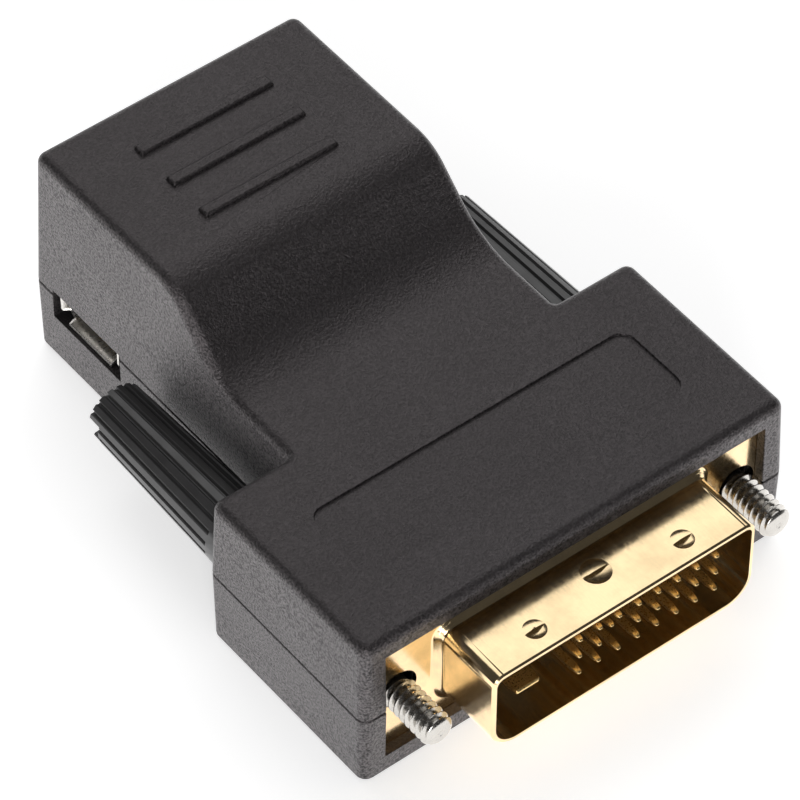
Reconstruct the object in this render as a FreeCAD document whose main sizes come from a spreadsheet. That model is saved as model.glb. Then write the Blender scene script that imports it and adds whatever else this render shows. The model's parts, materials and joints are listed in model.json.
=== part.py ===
import FreeCAD, Part
import os
import re
import Sketcher
from FreeCAD import Placement, Rotation, Vector

# Sizes of the extender, in millimetres and degrees.
# X runs to the right as the plug is faced from in front, Y to the rear, Z up.
# Depths along Y are counted from the front face of the housing.
SIZES = {
    "housing_length": (52.0, "front face to rear face, at the parting line"),
    "block_width": (41.1, "width of the front block at the parting line"),
    "block_depth": (19.2, "front face to the block's rear wall"),
    "block_height": (15.5, "underside to the block's top"),
    "tail_width": (26.3, "width of the tail at the parting line"),
    "tail_height": (21.6, "underside to the tail's roof"),
    "parting_height": (7.6, "height of the line where the shells meet"),
    "axis_height": (7.9, "height of the plug's axis"),
    "screw_height": (7.6, "height of the thumbscrews' axes"),
    "upper_draft": (1.5, "lean of the upper shell's walls"),
    "lower_draft": (1.0, "lean of the lower shell's walls"),
    "edge_round": (0.9, "radius of the housing's outer edges"),
    "crease_round": (0.4, "radius of the creases between block and tail"),
    "bottom_bevel": (0.48, "bevel of the housing's bottom edges"),
    "parting_bevel": (0.25, "bevel of the lower shell along the parting line"),
    "shell_wall": (1.4, "wall of both shells"),
    "front_lip": (1.0, "wall in front of the plug's flange"),
    "tail_cavity_width": (23.0, "clear width inside the tail"),
    "ramp_crest": (33.7, "depth at which the roof's line and the ramp's line cross"),
    "ramp_angle": (45.0, "steepness of the ramp"),
    "crest_radius": (5.0, "rounding where the roof turns down"),
    "foot_radius": (8.0, "rounding where the ramp meets the block"),
    "label_length": (30.7, "length of the label recess"),
    "label_width": (7.5, "width of the label recess"),
    "label_start": (6.0, "front face to the label recess"),
    "label_sink": (0.25, "depth of the label recess"),
    "label_round": (1.2, "corner radius of the label recess"),
    "rib_length": (12.8, "length of each roof rib"),
    "rib_width": (1.1, "width of each roof rib"),
    "rib_rise": (0.4, "height of each roof rib"),
    "rib_bevel": (0.15, "bevel of the roof ribs' edges"),
    "rib_count": (3.0, "roof ribs"),
    "rib_pitch": (4.15, "distance between roof ribs"),
    "rib_margin": (5.4, "rear face to the last rib's middle"),
    "mouth_width": (36.7, "width of the opening round the plug"),
    "mouth_height": (11.5, "height of the opening round the plug"),
    "plug_reach": (5.5, "how far the plug stands out of the housing"),
    "plug_width": (25.5, "outer width of the plug's shell"),
    "plug_height": (8.55, "outer height of the plug's shell"),
    "plug_top_round": (1.1, "outer radius of the plug's upper corners"),
    "plug_low_round": (2.55, "outer radius of the plug's lower corners"),
    "plug_sheet": (0.4, "sheet of both plug shells"),
    "plug_root_bevel": (0.6, "bevel where the plug's shell turns into its flange"),
    "plug_back_bevel": (0.5, "bevel of the flange's inner edge behind"),
    "plug_rim_bevel": (0.15, "bevel of the plug's front rim"),
    "flange_width": (38.0, "width of the plug's flange"),
    "flange_height": (12.3, "height of the plug's flange"),
    "flange_play": (0.05, "room round the flanges in their slot"),
    "ledge_width": (1.2, "thickness of the ledge behind the flanges"),
    "ledge_rise": (1.0, "how far that ledge stands in"),
    "screw_spacing": (33.0, "distance between the thumbscrews' axes"),
    "flange_hole_radius": (1.75, "hole of the flanges for a screw"),
    "dimple_spacing": (7.15, "distance between the plug's dimples"),
    "dimple_radius": (0.95, "radius of the outer dimples"),
    "dimple_depth": (0.22, "how far the dimples sink or stand out"),
    "dimple_setback": (2.05, "plug's rim to the outer dimples' slit"),
    "middle_dimple_radius": (1.25, "radius of the middle dimple"),
    "middle_dimple_setback": (3.6, "plug's rim to the middle dimple's slit"),
    "insulator_depth": (6.1, "plug's rim to the insulator's face"),
    "insulator_play": (0.05, "room round the insulator in the shells"),
    "shoulder_rise": (0.8, "step of the insulator behind the front shell"),
    "shoulder_length": (4.6, "length of the insulator behind the front shell"),
    "back_shell_margin": (0.5, "insulator's back to the rear shell's end"),
    "contact_pitch": (1.905, "pitch of the plug's contacts, both ways"),
    "contact_columns": (8.0, "contacts in each row"),
    "contact_width": (0.62, "width of a contact"),
    "contact_sheet": (0.38, "thickness of a contact"),
    "contact_setback": (0.5, "plug's rim to the contacts' tips"),
    "short_contact_step": (0.85, "how much further back the short contact ends"),
    "short_contact": (3.0, "place of the short contact in its row"),
    "contact_field_shift": (2.84, "middle of the contact field off the plug's middle"),
    "contact_bevel": (0.14, "bevel of a contact's tip"),
    "contact_play": (0.02, "room round a contact in the insulator"),
    "blade_shift": (8.6, "middle of the ground blade off the plug's middle"),
    "blade_drop": (0.2, "middle of the ground blade under the plug's axis"),
    "blade_width": (2.4, "width of the ground blade"),
    "blade_sheet": (0.42, "thickness of the ground blade"),
    "blade_setback": (0.8, "plug's rim to the ground blade's tip"),
    "tail_setback": (1.9, "insulator's back to the first row of tails"),
    "tail_pitch": (2.3, "distance between the rows of tails"),
    "tail_stub": (0.8, "how far a tail stands out under the board"),
    "tail_hole_play": (0.12, "room round a contact's tail in the board"),
    "screw_radius": (1.42, "major radius of the jackscrew's thread"),
    "screw_reach": (4.1, "how far a screw stands out of the housing"),
    "thread_length": (4.0, "length of the screw's threaded front"),
    "shank_radius": (1.2, "radius of the screw behind its thread"),
    "screw_grip": (13.0, "how deep the screw goes into the outer part of its knob"),
    "screw_play": (0.01, "room round the screw in its knob"),
    "knob_length": (17.1, "length of the knob outside the housing"),
    "knob_front_radius": (3.1, "radius to the knob's corners next to the housing"),
    "knob_rear_radius": (2.6, "radius to the knob's corners at its free end"),
    "knob_collar": (1.5, "plain length before the flutes begin"),
    "knob_play": (0.25, "gap between the knob and the housing"),
    "flute_count": (18.0, "flutes round a knob"),
    "flute_width": (0.44, "width of a flute at the surface"),
    "flute_floor": (0.14, "width of a flute's floor"),
    "flute_depth": (0.3, "depth of a flute"),
    "slot_width": (2.1, "width of the coin slot"),
    "slot_depth": (1.3, "depth of the coin slot"),
    "slot_angle": (7.0, "turn of the coin slot from level"),
    "neck_radius": (2.3, "radius of the knob's neck in the housing wall"),
    "neck_play": (0.08, "running clearance of the neck"),
    "head_radius": (2.7, "radius of the knob's head inside the housing"),
    "head_length": (2.8, "length of the knob's head"),
    "head_play": (0.3, "room round and behind the knob's head"),
    "board_height": (3.6, "underside of the housing to the board's underside"),
    "board_sheet": (1.6, "thickness of the circuit board"),
    "board_width": (22.4, "width of the circuit board"),
    "board_setback": (0.7, "insulator's back to the board's edge"),
    "board_margin": (0.3, "rear wall to the board's edge"),
    "board_round": (0.8, "corner radius of the board"),
    "post_margin": (1.9, "board's side edge to the middle of a post"),
    "post_depth": (20.2, "front face to the posts"),
    "post_radius": (1.6, "radius of the posts"),
    "round_sides": (10.0, "sides of the round pieces hidden inside"),
    "pin_radius": (0.8, "radius of the posts' pins"),
    "pin_play": (0.1, "room round a pin in the board"),
    "pin_drop": (0.2, "how far a pin ends under the board's top"),
    "jack_width": (16.0, "width of the network socket's can"),
    "jack_headroom": (2.0, "room over the network socket's can"),
    "jack_length": (15.4, "length of the network socket's can"),
    "jack_recess": (0.3, "housing's rear face to the network socket's face"),
    "jack_sheet": (0.25, "sheet of the network socket's can"),
    "jack_play": (0.15, "room round the network socket in the rear wall"),
    "socket_width": (11.9, "width of the network socket's cavity"),
    "socket_ceiling": (2.4, "cavity to the top of the network socket's can"),
    "socket_depth": (12.4, "depth of the network socket's cavity"),
    "socket_floor": (3.6, "board to the cavity's floor"),
    "latch_width": (6.2, "width of the step for the plug's latch"),
    "latch_height": (1.2, "height of that step"),
    "catch_width": (4.0, "width of the slot under that step"),
    "catch_height": (0.9, "height of that slot"),
    "latch_depth": (9.0, "depth of the latch's step and slot"),
    "peg_radius": (1.55, "radius of the network socket's pegs"),
    "peg_spacing": (11.4, "distance between those pegs"),
    "peg_setback": (8.9, "network socket's face to its pegs"),
    "peg_play": (0.1, "room round a peg in the board"),
    "wire_pitch": (1.02, "pitch of the network socket's wires"),
    "wire_count": (8.0, "wires of the network socket"),
    "wire_width": (0.46, "width and thickness of a wire"),
    "wire_play": (0.03, "room round a wire in its groove"),
    "socket_play": (0.05, "room round a socket's moulding in its shell"),
    "wire_drop": (2.6, "how far a wire's end hangs into the cavity"),
    "wire_run": (6.6, "length of a wire's slope"),
    "wire_setback": (1.4, "network socket's face to the wires' bend"),
    "usb_margin": (6.95, "rear face to the middle of the USB socket"),
    "usb_width": (7.4, "outer width of the USB socket's shell"),
    "usb_height": (2.5, "outer height of the USB socket's shell"),
    "usb_length": (4.5, "length of the USB socket's shell"),
    "usb_sheet": (0.25, "sheet of the USB socket's shell"),
    "usb_bevel": (0.9, "bevel of the USB socket's lower corners"),
    "usb_lip": (0.2, "how far the USB socket's lips flare out"),
    "usb_lip_length": (0.6, "length of the USB socket's lips"),
    "usb_recess": (0.35, "housing's side to the USB socket's lips"),
    "usb_notch_width": (8.9, "width of the notch for the USB socket"),
    "usb_notch_play": (0.25, "room over and under the USB socket in its notch"),
    "tongue_width": (3.9, "width of the USB socket's tongue"),
    "tongue_sheet": (0.6, "thickness of the USB socket's tongue"),
    "tongue_rise": (1.2, "board to the underside of the USB socket's tongue"),
    "usb_base_length": (1.0, "length of the USB socket's base block"),
    "usb_heel_length": (0.7, "cut in the shell's rear for the contacts' feet"),
    "tongue_setback": (1.0, "USB shell's mouth to the tongue's tip"),
    "usb_count": (5.0, "contacts of the USB socket"),
    "usb_pitch": (0.65, "pitch of the USB socket's contacts"),
    "usb_contact_width": (0.3, "width of a USB contact"),
    "usb_contact_sheet": (0.12, "thickness of a USB contact"),
    "usb_row_half": (1.8, "half width of the cut for the USB contacts' feet"),
    "chip_size": (8.0, "side of the main chip"),
    "chip_height": (0.9, "height of the main chip"),
    "chip_depth": (20.2, "front face to the main chip's middle"),
    "chip_bevel": (0.15, "bevel round the chips' tops"),
    "regulator_length": (3.0, "length of the regulator"),
    "regulator_width": (1.7, "width of the regulator"),
    "regulator_height": (1.1, "height of the regulator"),
    "coil_size": (4.0, "side of the power coil"),
    "coil_height": (2.0, "height of the power coil"),
    "coil_base": (0.6, "height of the coil's square base"),
    "crystal_length": (5.0, "length of the crystal's can"),
    "crystal_width": (3.2, "width of the crystal's can"),
    "crystal_height": (1.0, "height of the crystal's can"),
    "crystal_base": (0.3, "height of the crystal's base"),
    "parts_depth": (30.0, "front face to the row of small parts"),
    "parts_spacing": (6.8, "distance between those parts"),
    "leg_pitch": (0.95, "pitch of the regulator's legs"),
    "leg_width": (0.4, "width of the regulator's legs"),
    "capacitor_offset": (4.0, "those parts to each row of capacitors"),
    "capacitor_length": (1.6, "length of a capacitor"),
    "capacitor_width": (0.8, "width of a capacitor"),
    "capacitor_pitch": (2.2, "distance between capacitors"),
    "capacitor_count": (4.0, "capacitors in each row"),
}

doc = FreeCAD.newDocument("dvi_extender")
sheet = doc.addObject("Spreadsheet::Sheet", "Spec")
for row, (alias, (number, meaning)) in enumerate(SIZES.items(), 1):
    sheet.set(f"A{row}", alias)
    sheet.set(f"B{row}", str(number))
    sheet.set(f"C{row}", meaning)
    sheet.setAlias(f"B{row}", alias)
doc.recompute()

# Sizes that follow from the driving ones.
DERIVED = {
    "ramp_foot": "ramp_crest - (tail_height - block_height) / tan(ramp_angle)",
    "ramp_shift": "shell_wall * tan(ramp_angle / 2)",
    "flange_back": "front_lip + 2 * plug_sheet",
    "ledge_back": "front_lip + 2 * plug_sheet + flange_play + ledge_width",
    "block_inner": "block_depth - shell_wall",
    "tail_inner": "housing_length - shell_wall",
    "insulator_face": "insulator_depth - plug_reach",
    "insulator_back": "front_lip + plug_sheet + shoulder_length",
    "board_top": "board_height + board_sheet",
    "post_spacing": "board_width - 2 * post_margin",
    "jack_height": "tail_height - shell_wall - board_height - board_sheet - jack_headroom",
    "socket_height": "tail_height - shell_wall - board_height - board_sheet - jack_headroom"
                     " - socket_floor - socket_ceiling",
    "board_front": "front_lip + plug_sheet + shoulder_length + board_setback",
    "board_rear": "housing_length - shell_wall - board_margin",
    "jack_face": "housing_length - jack_recess",
    "jack_back": "housing_length - jack_recess - jack_length",
    "usb_face": "usb_recess - tail_width / 2",
    "usb_middle": "housing_length - usb_margin",
    "first_column": "contact_field_shift - (contact_columns - 1) / 2 * contact_pitch",
    "first_wire": "-1 * (wire_count - 1) / 2 * wire_pitch",
}
UP = {"XY": 1, "XZ": -1, "YZ": 1}

# An edge's way counts as upright, or as along an axis, from these shares on.
UPRIGHT = 0.9
ALONG = 0.99


def tied(text):
    """An expression whose words are read from the sheet, with worked-out sizes written in full."""
    def look_up(match):
        word = match.group(0)
        if word in DERIVED:
            return f"({tied(DERIVED[word])})"
        return f"Spec.{word}" if word in SIZES else word
    return re.sub(r"[a-z_]+[a-z]", look_up, text)


def value(text):
    """The number that an expression has now."""
    return float(sheet.evalExpression(tied(text).replace("Spec.", "")))


def near(number, text, room=0.02):
    """Whether a number is what an expression says."""
    return abs(number - value(text)) < room


def bind(thing, prop, text):
    """Ties one property of an object to an expression of the sheet's sizes."""
    thing.setExpression(prop, tied(text))


def make_body(label, x="0", z="0"):
    """A body at x, z, with its own depths counted from the housing's front face."""
    body = doc.addObject("PartDesign::Body", label)
    body.Label = label
    bind(body, "Placement.Base.x", x)
    bind(body, "Placement.Base.y", "(plug_reach - housing_length) / 2")
    bind(body, "Placement.Base.z", z)
    return body


def origin_part(body, role):
    """One of the planes or axes of a body's own origin."""
    return next(item for item in body.Origin.OriginFeatures if item.Role == role)


def make_sketch(body, plane, at="0", centre=("0", "0"), turn="0", turn_axis=Vector(0, 0, 1)):
    """A sketch across the plane's axis, at a distance along it, with its own centre and turn."""
    sketch = body.newObject("Sketcher::SketchObject", f"{body.Label}_{plane.lower()}")
    sketch.AttachmentSupport = [(origin_part(body, f"{plane}_Plane"), "")]
    sketch.MapMode = "FlatFace"
    if turn != "0":
        sketch.AttachmentOffset = Placement(Vector(0, 0, 0), Rotation(turn_axis, value(turn)))
        bind(sketch, "AttachmentOffset.Rotation.Angle", turn)
    bind(sketch, "AttachmentOffset.Base.x", centre[0])
    bind(sketch, "AttachmentOffset.Base.y", centre[1])
    bind(sketch, "AttachmentOffset.Base.z", f"{UP[plane]} * ({at})")
    return sketch


def fix_size(sketch, constraint, text):
    """Adds a dimension to a sketch and ties it to the sheet."""
    number = sketch.addConstraint(constraint)
    bind(sketch, f"Constraints[{number}]", text)


def fix_point(sketch, edge, end, x, y):
    """Ties one end or the centre of a sketch's edge to a place in the sketch."""
    fix_size(sketch, Sketcher.Constraint("DistanceX", -1, 1, edge, end, value(x)), x)
    fix_size(sketch, Sketcher.Constraint("DistanceY", -1, 1, edge, end, value(y)), y)


def arc_between(start, end, radius):
    """The short arc that bulges to the right of the way from start to end."""
    chord = end - start
    rise = max(radius ** 2 - chord.Length ** 2 / 4, 0) ** 0.5
    left = Vector(-chord.y, chord.x, 0).normalize()
    return Part.Arc(start, (start + end) / 2 + left * (rise - radius), end)


def draw_outline(sketch, *corners):
    """A closed outline, drawn anticlockwise; a corner with a radius starts an arc to the next."""
    first = sketch.GeometryCount
    count = len(corners)
    places = [Vector(value(corner[0]), value(corner[1]), 0) for corner in corners]
    for number, corner in enumerate(corners):
        start, end = places[number], places[(number + 1) % count]
        if len(corner) == 3:
            sketch.addGeometry(arc_between(start, end, value(corner[2])))
        else:
            sketch.addGeometry(Part.LineSegment(start, end))
    for number, corner in enumerate(corners):
        following = first + (number + 1) % count
        sketch.addConstraint(Sketcher.Constraint("Coincident", first + number, 2, following, 1))
        fix_point(sketch, first + number, 1, corner[0], corner[1])
        if len(corner) == 3:
            fix_size(sketch, Sketcher.Constraint("Radius", first + number, value(corner[2])), corner[2])


def draw_rectangle(sketch, left, right, low, high):
    """A rectangle with its sides at the given places."""
    draw_outline(sketch, (left, low), (right, low), (right, high), (left, high))


def draw_rounded(sketch, middle, half_width, half_height, low_round, top_round):
    """A rectangle about x = 0 and a middle height, with rounded lower and upper corners."""
    low = f"{middle} - ({half_height})"
    top = f"{middle} + ({half_height})"
    wide = f"({half_width})"
    draw_outline(
        sketch,
        (f"-1 * {wide} + {low_round}", low),
        (f"{wide} - ({low_round})", low, low_round),
        (wide, f"{low} + {low_round}"),
        (wide, f"{top} - ({top_round})", top_round),
        (f"{wide} - ({top_round})", top),
        (f"-1 * {wide} + {top_round}", top, top_round),
        (f"-1 * {wide}", f"{top} - ({top_round})"),
        (f"-1 * {wide}", f"{low} + {low_round}", low_round),
    )


def draw_circle(sketch, x, y, radius):
    """A circle with its centre at x, y."""
    centre = Vector(value(x), value(y), 0)
    edge = sketch.addGeometry(Part.Circle(centre, Vector(0, 0, 1), value(radius)))
    fix_point(sketch, edge, 3, x, y)
    fix_size(sketch, Sketcher.Constraint("Radius", edge, value(radius)), radius)


def draw_many_sided(sketch, x, y, radius, count):
    """A regular outline about x, y with its corners on a circle."""
    turns = [f"(90 + {number} * 360 / {count})" for number in range(round(value(count)))]
    draw_outline(sketch, *[(f"{x} + ({radius}) * cos({turn})", f"{y} + ({radius}) * sin({turn})")
                           for turn in turns])


def add_feature(kind, sketch):
    """A feature of the sketch's own body, made from that sketch."""
    body = sketch.getParentGeoFeatureGroup()
    feature = body.newObject(f"PartDesign::{kind}", f"{body.Label}_{kind.lower()}")
    feature.Profile = sketch
    return feature


def extrude(kind, sketch, length, forward, taper, both_ways):
    """Pads or pockets a sketch along its axis, forward meaning towards the axis's plus side."""
    feature = add_feature(kind, sketch)
    bind(feature, "Length", length)
    plane = sketch.AttachmentSupport[0][0].Role[:2]
    along_normal = forward == (UP[plane] > 0)
    feature.Reversed = along_normal if kind == "Pocket" else not along_normal
    if both_ways:
        feature.SideType = "Symmetric"
    if taper:
        bind(feature, "TaperAngle", f"-1 * {taper}")
    doc.recompute()
    return feature


def pad(sketch, length, forward=True, taper=None, both_ways=False):
    """Adds material along the sketch's axis."""
    return extrude("Pad", sketch, length, forward, taper, both_ways)


def pocket(sketch, length, forward=True, taper=None, both_ways=False):
    """Cuts material along the sketch's axis."""
    return extrude("Pocket", sketch, length, forward, taper, both_ways)


def spin(kind, sketch, axis, angle=360, backwards=False):
    """Turns a sketch about its own horizontal or vertical axis, to add or to cut material."""
    feature = add_feature(kind, sketch)
    feature.ReferenceAxis = (sketch, [f"{axis}_Axis"])
    feature.Angle = angle
    feature.Reversed = backwards
    doc.recompute()
    return feature


def loft(kind, first, second):
    """Adds or cuts the straight-sided form between two sketches."""
    feature = add_feature(kind, first)
    feature.Sections = [second]
    feature.Ruled = True
    doc.recompute()
    return feature


def soften(kind, body, size, wanted):
    """Rounds or bevels the edges whose middle point and straight direction are wanted."""
    base = body.Tip
    names = []
    for number, edge in enumerate(base.Shape.Edges, 1):
        low, high = edge.ParameterRange
        middle = edge.valueAt((low + high) / 2)
        chord = edge.valueAt(high) - edge.valueAt(low)
        if chord.Length > 1e-6:
            chord.normalize()
        if wanted(middle, Vector(abs(chord.x), abs(chord.y), abs(chord.z))):
            names.append(f"Edge{number}")
    feature = body.newObject(f"PartDesign::{kind}", f"{body.Label}_{kind.lower()}")
    feature.Base = (base, names)
    bind(feature, "Radius" if kind == "Fillet" else "Size", size)
    doc.recompute()
    return feature


def repeat(body, source, axis, spacing, count):
    """Repeats a feature along one of the body's axes, or the whole body if source is None."""
    pattern = body.newObject("PartDesign::LinearPattern", f"{body.Label}_row")
    if source is None:
        pattern.TransformMode = "Whole shape"
    else:
        pattern.Originals = [source]
    pattern.Direction = (origin_part(body, f"{axis}_Axis"), [""])
    pattern.Mode = "Spacing"
    bind(pattern, "Offset", spacing)
    bind(pattern, "Occurrences", count)
    body.Tip = pattern
    doc.recompute()
    return pattern


# Housing

def cut_front_block(body, forward, slot_end, window_end, inner_end):
    """Hollows the front block: a slot for the plug's flanges, a ledge behind it, then open room."""
    slot_half = "flange_width / 2 + flange_play"
    zones = (
        ("front_lip", "flange_back + flange_play", slot_half, slot_end),
        ("flange_back", "ledge_back + flange_play", f"{slot_half} - ledge_rise", window_end),
        ("ledge_back", "block_inner", "block_width / 2 - shell_wall", inner_end),
    )
    for front, rear, half, end in zones:
        sketch = make_sketch(body, "XY", "parting_height")
        draw_rectangle(sketch, f"-1 * ({half})", half, front, rear)
        height = f"{end} - parting_height" if forward else f"parting_height - ({end})"
        pocket(sketch, height, forward)


def cut_mouth(body):
    """Opens the front wall round the plug."""
    sketch = make_sketch(body, "XZ")
    draw_rectangle(sketch, "-1 * mouth_width / 2", "mouth_width / 2",
                   "axis_height - mouth_height / 2", "axis_height + mouth_height / 2")
    pocket(sketch, "front_lip + plug_sheet")


def cut_knob_bores(body):
    """Bores the rear wall for the knobs' necks and clears the room for their heads."""
    bores = (
        ("block_inner - shell_wall / 2", "2 * shell_wall", "neck_radius + neck_play"),
        ("ledge_back", "block_inner - (ledge_back)", "head_radius + head_play"),
    )
    for start, length, radius in bores:
        sketch = make_sketch(body, "XZ", start)
        for side in ("-1", "1"):
            draw_circle(sketch, f"{side} * screw_spacing / 2", "screw_height", radius)
        pocket(sketch, length)


def cut_sockets(body):
    """Opens the rear wall for the network socket and the left wall for the USB socket."""
    rear = make_sketch(body, "XZ", "tail_inner - jack_play")
    draw_rectangle(rear, "-1 * (jack_width / 2 + jack_play)", "jack_width / 2 + jack_play",
                   "board_top - jack_play", "board_top + jack_height + jack_play")
    pocket(rear, "2 * shell_wall")
    side = make_sketch(body, "YZ", "-1 * tail_width / 2 - shell_wall")
    draw_rectangle(side, "usb_middle - usb_notch_width / 2", "usb_middle + usb_notch_width / 2",
                   "board_top - usb_notch_play", "board_top + usb_height + usb_notch_play")
    pocket(side, "tail_width / 2 - tail_cavity_width / 2 + shell_wall + usb_notch_play")


def lean_walls(body, axis, start, angle, downwards=False):
    """Leans the walls along an axis inwards, away from the flat face where they start."""
    base = body.Tip
    walls = []
    for number, face in enumerate(base.Shape.Faces, 1):
        if abs(face.normalAt(0, 0).dot(axis)) < 0.5:
            walls.append(f"Face{number}")
        elif near(face.CenterOfMass.dot(axis), start):
            first = f"Face{number}"
    feature = body.newObject("PartDesign::Draft", f"{body.Label}_draft")
    feature.Base = (base, walls)
    feature.NeutralPlane = (base, [first])
    bind(feature, "Angle", angle)
    feature.Reversed = downwards
    doc.recompute()


def draw_housing_plan(body):
    """The housing from above at the parting line: a wide block and a narrower tail."""
    plan = make_sketch(body, "XY", "parting_height")
    block = "block_width / 2"
    tail = "tail_width / 2"
    draw_outline(
        plan,
        (f"-1 * {block}", "0"),
        (block, "0"),
        (block, "block_depth"),
        (tail, "block_depth"),
        (tail, "housing_length"),
        (f"-1 * {tail}", "housing_length"),
        (f"-1 * {tail}", "block_depth"),
        (f"-1 * {block}", "block_depth"),
    )
    return plan


def round_outside(body, outer):
    """Rounds the creases between block and tail, then the upright corners and the outer edges."""
    def crease(middle, way):
        beside_tail = near(abs(middle.x), "tail_width / 2", value("edge_round") / 2)
        return way.z > UPRIGHT and beside_tail and near(middle.y, "block_depth", value("edge_round") / 2)

    soften("Fillet", body, "crease_round", crease)

    def wanted(middle, way):
        if way.z < UPRIGHT:
            return outer(middle)
        return near(abs(middle.x), "block_width / 2", value("edge_round")) or near(
            middle.y, "housing_length", value("edge_round"))

    soften("Fillet", body, "edge_round", wanted)


def add_posts(body, start, length, radius):
    """Adds one post at each side of the board, upwards."""
    sketch = make_sketch(body, "XY", start)
    for side in ("-1", "1"):
        draw_many_sided(sketch, f"{side} * post_spacing / 2", "post_depth", radius, "round_sides")
    pad(sketch, length)


def make_upper_shell():
    """The upper half of the housing: a wide low block and a tall tail joined by a ramp."""
    body = make_body("upper_shell")
    pad(draw_housing_plan(body), "tail_height - parting_height")
    lean_walls(body, Vector(0, 0, 1), "parting_height", "upper_draft")
    ramp = make_sketch(body, "YZ")
    draw_outline(
        ramp,
        ("-1 * shell_wall", "block_height"),
        ("ramp_foot", "block_height"),
        ("ramp_crest", "tail_height"),
        ("ramp_crest", "tail_height + shell_wall"),
        ("-1 * shell_wall", "tail_height + shell_wall"),
    )
    pocket(ramp, "block_width + shell_wall", both_ways=True)
    soften("Fillet", body, "crest_radius",
           lambda middle, way: way.x > ALONG and near(middle.y, "ramp_crest"))
    soften("Fillet", body, "foot_radius",
           lambda middle, way: way.x > ALONG and near(middle.y, "ramp_foot"))

    def top_edge(middle):
        on_ramp = value("block_depth") < middle.y < value("ramp_crest + crest_radius")
        across_ramp = near(middle.x, "0") and on_ramp
        return middle.z > value("(parting_height + block_height) / 2") and not across_ramp

    round_outside(body, top_edge)
    cut_upper_cavity(body)
    cut_mouth(body)
    cut_knob_bores(body)
    cut_sockets(body)
    label = make_sketch(body, "XY", "block_height - label_sink",
                        centre=("0", "label_start + label_width / 2"))
    draw_rounded(label, "0", "label_length / 2", "label_width / 2", "label_round", "label_round")
    pocket(label, "shell_wall")
    rib = make_sketch(body, "XY", "tail_height - shell_wall / 2",
                      centre=("0", "housing_length - rib_margin - (rib_count - 1) * rib_pitch"))
    draw_rectangle(rib, "-1 * rib_length / 2", "rib_length / 2", "-1 * rib_width / 2", "rib_width / 2")
    repeat(body, pad(rib, "shell_wall / 2 + rib_rise"), "Y", "rib_pitch", "rib_count")
    soften("Chamfer", body, "rib_bevel",
           lambda middle, way: near(middle.z, "tail_height + rib_rise"))
    add_posts(body, "board_top", "block_height - shell_wall / 2 - (board_top)", "post_radius")
    return body


def cut_upper_cavity(body):
    """Hollows the upper shell, with an inner ramp that keeps the wall's thickness."""
    cut_front_block(
        body, True,
        "(axis_height + flange_height / 2 + flange_play)",
        "(axis_height + flange_height / 2 + flange_play - ledge_rise)",
        "(block_height - shell_wall)",
    )
    room = make_sketch(body, "YZ")
    draw_outline(
        room,
        ("ledge_back", "parting_height"),
        ("tail_inner", "parting_height"),
        ("tail_inner", "tail_height - shell_wall"),
        ("ramp_crest + ramp_shift", "tail_height - shell_wall"),
        ("ramp_foot + ramp_shift", "block_height - shell_wall"),
        ("ledge_back", "block_height - shell_wall"),
    )
    pocket(room, "tail_cavity_width", both_ways=True)
    soften("Fillet", body, "crest_radius - shell_wall",
           lambda middle, way: way.x > ALONG and near(middle.y, "ramp_crest + ramp_shift")
           and near(middle.z, "tail_height - shell_wall"))
    soften("Fillet", body, "foot_radius + shell_wall",
           lambda middle, way: way.x > ALONG and near(middle.y, "ramp_foot + ramp_shift")
           and near(middle.z, "block_height - shell_wall"))


def make_lower_shell():
    """The lower half of the housing, a tray with the board's posts and pins."""
    body = make_body("lower_shell")
    pad(draw_housing_plan(body), "parting_height", forward=False)
    lean_walls(body, Vector(0, 0, 1), "parting_height", "lower_draft", downwards=True)
    round_outside(body, lambda middle: False)
    soften("Chamfer", body, "bottom_bevel", lambda middle, way: near(middle.z, "0"))
    soften("Chamfer", body, "parting_bevel", lambda middle, way: near(middle.z, "parting_height"))
    cut_front_block(
        body, False,
        "axis_height - flange_height / 2 - flange_play",
        "axis_height - flange_height / 2 - flange_play + ledge_rise",
        "shell_wall",
    )
    tail = make_sketch(body, "XY", "parting_height")
    draw_rectangle(tail, "-1 * tail_cavity_width / 2", "tail_cavity_width / 2", "ledge_back", "tail_inner")
    pocket(tail, "parting_height - shell_wall", forward=False)
    cut_mouth(body)
    cut_knob_bores(body)
    cut_sockets(body)
    add_posts(body, "shell_wall / 2", "board_height - shell_wall / 2", "post_radius")
    add_posts(body, "shell_wall / 2", "board_top - pin_drop - shell_wall / 2", "pin_radius")
    return body


# Plug

def draw_plug_shape(sketch, growth):
    """The plug's D shape, grown or shrunk from the shell's outer face."""
    draw_rounded(sketch, "axis_height", f"plug_width / 2 + {growth}", f"plug_height / 2 + {growth}",
                 f"plug_low_round + {growth}", f"plug_top_round + {growth}")


def add_flange(body, start):
    """A flat flange with two screw holes."""
    plate = make_sketch(body, "XZ", start)
    draw_rectangle(plate, "-1 * flange_width / 2", "flange_width / 2",
                   "axis_height - flange_height / 2", "axis_height + flange_height / 2")
    for side in ("-1", "1"):
        draw_circle(plate, f"{side} * screw_spacing / 2", "axis_height", "flange_hole_radius")
    pad(plate, "plug_sheet")


def on_plug_outline(middle, growth, room=0.3):
    """Whether a point lies on the D shape's outline rather than on the flange's rim or holes."""
    inside = abs(middle.x) < value(f"plug_width / 2 + {growth}") + room
    return inside and abs(middle.z - value("axis_height")) < value(f"plug_height / 2 + {growth}") + room


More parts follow.
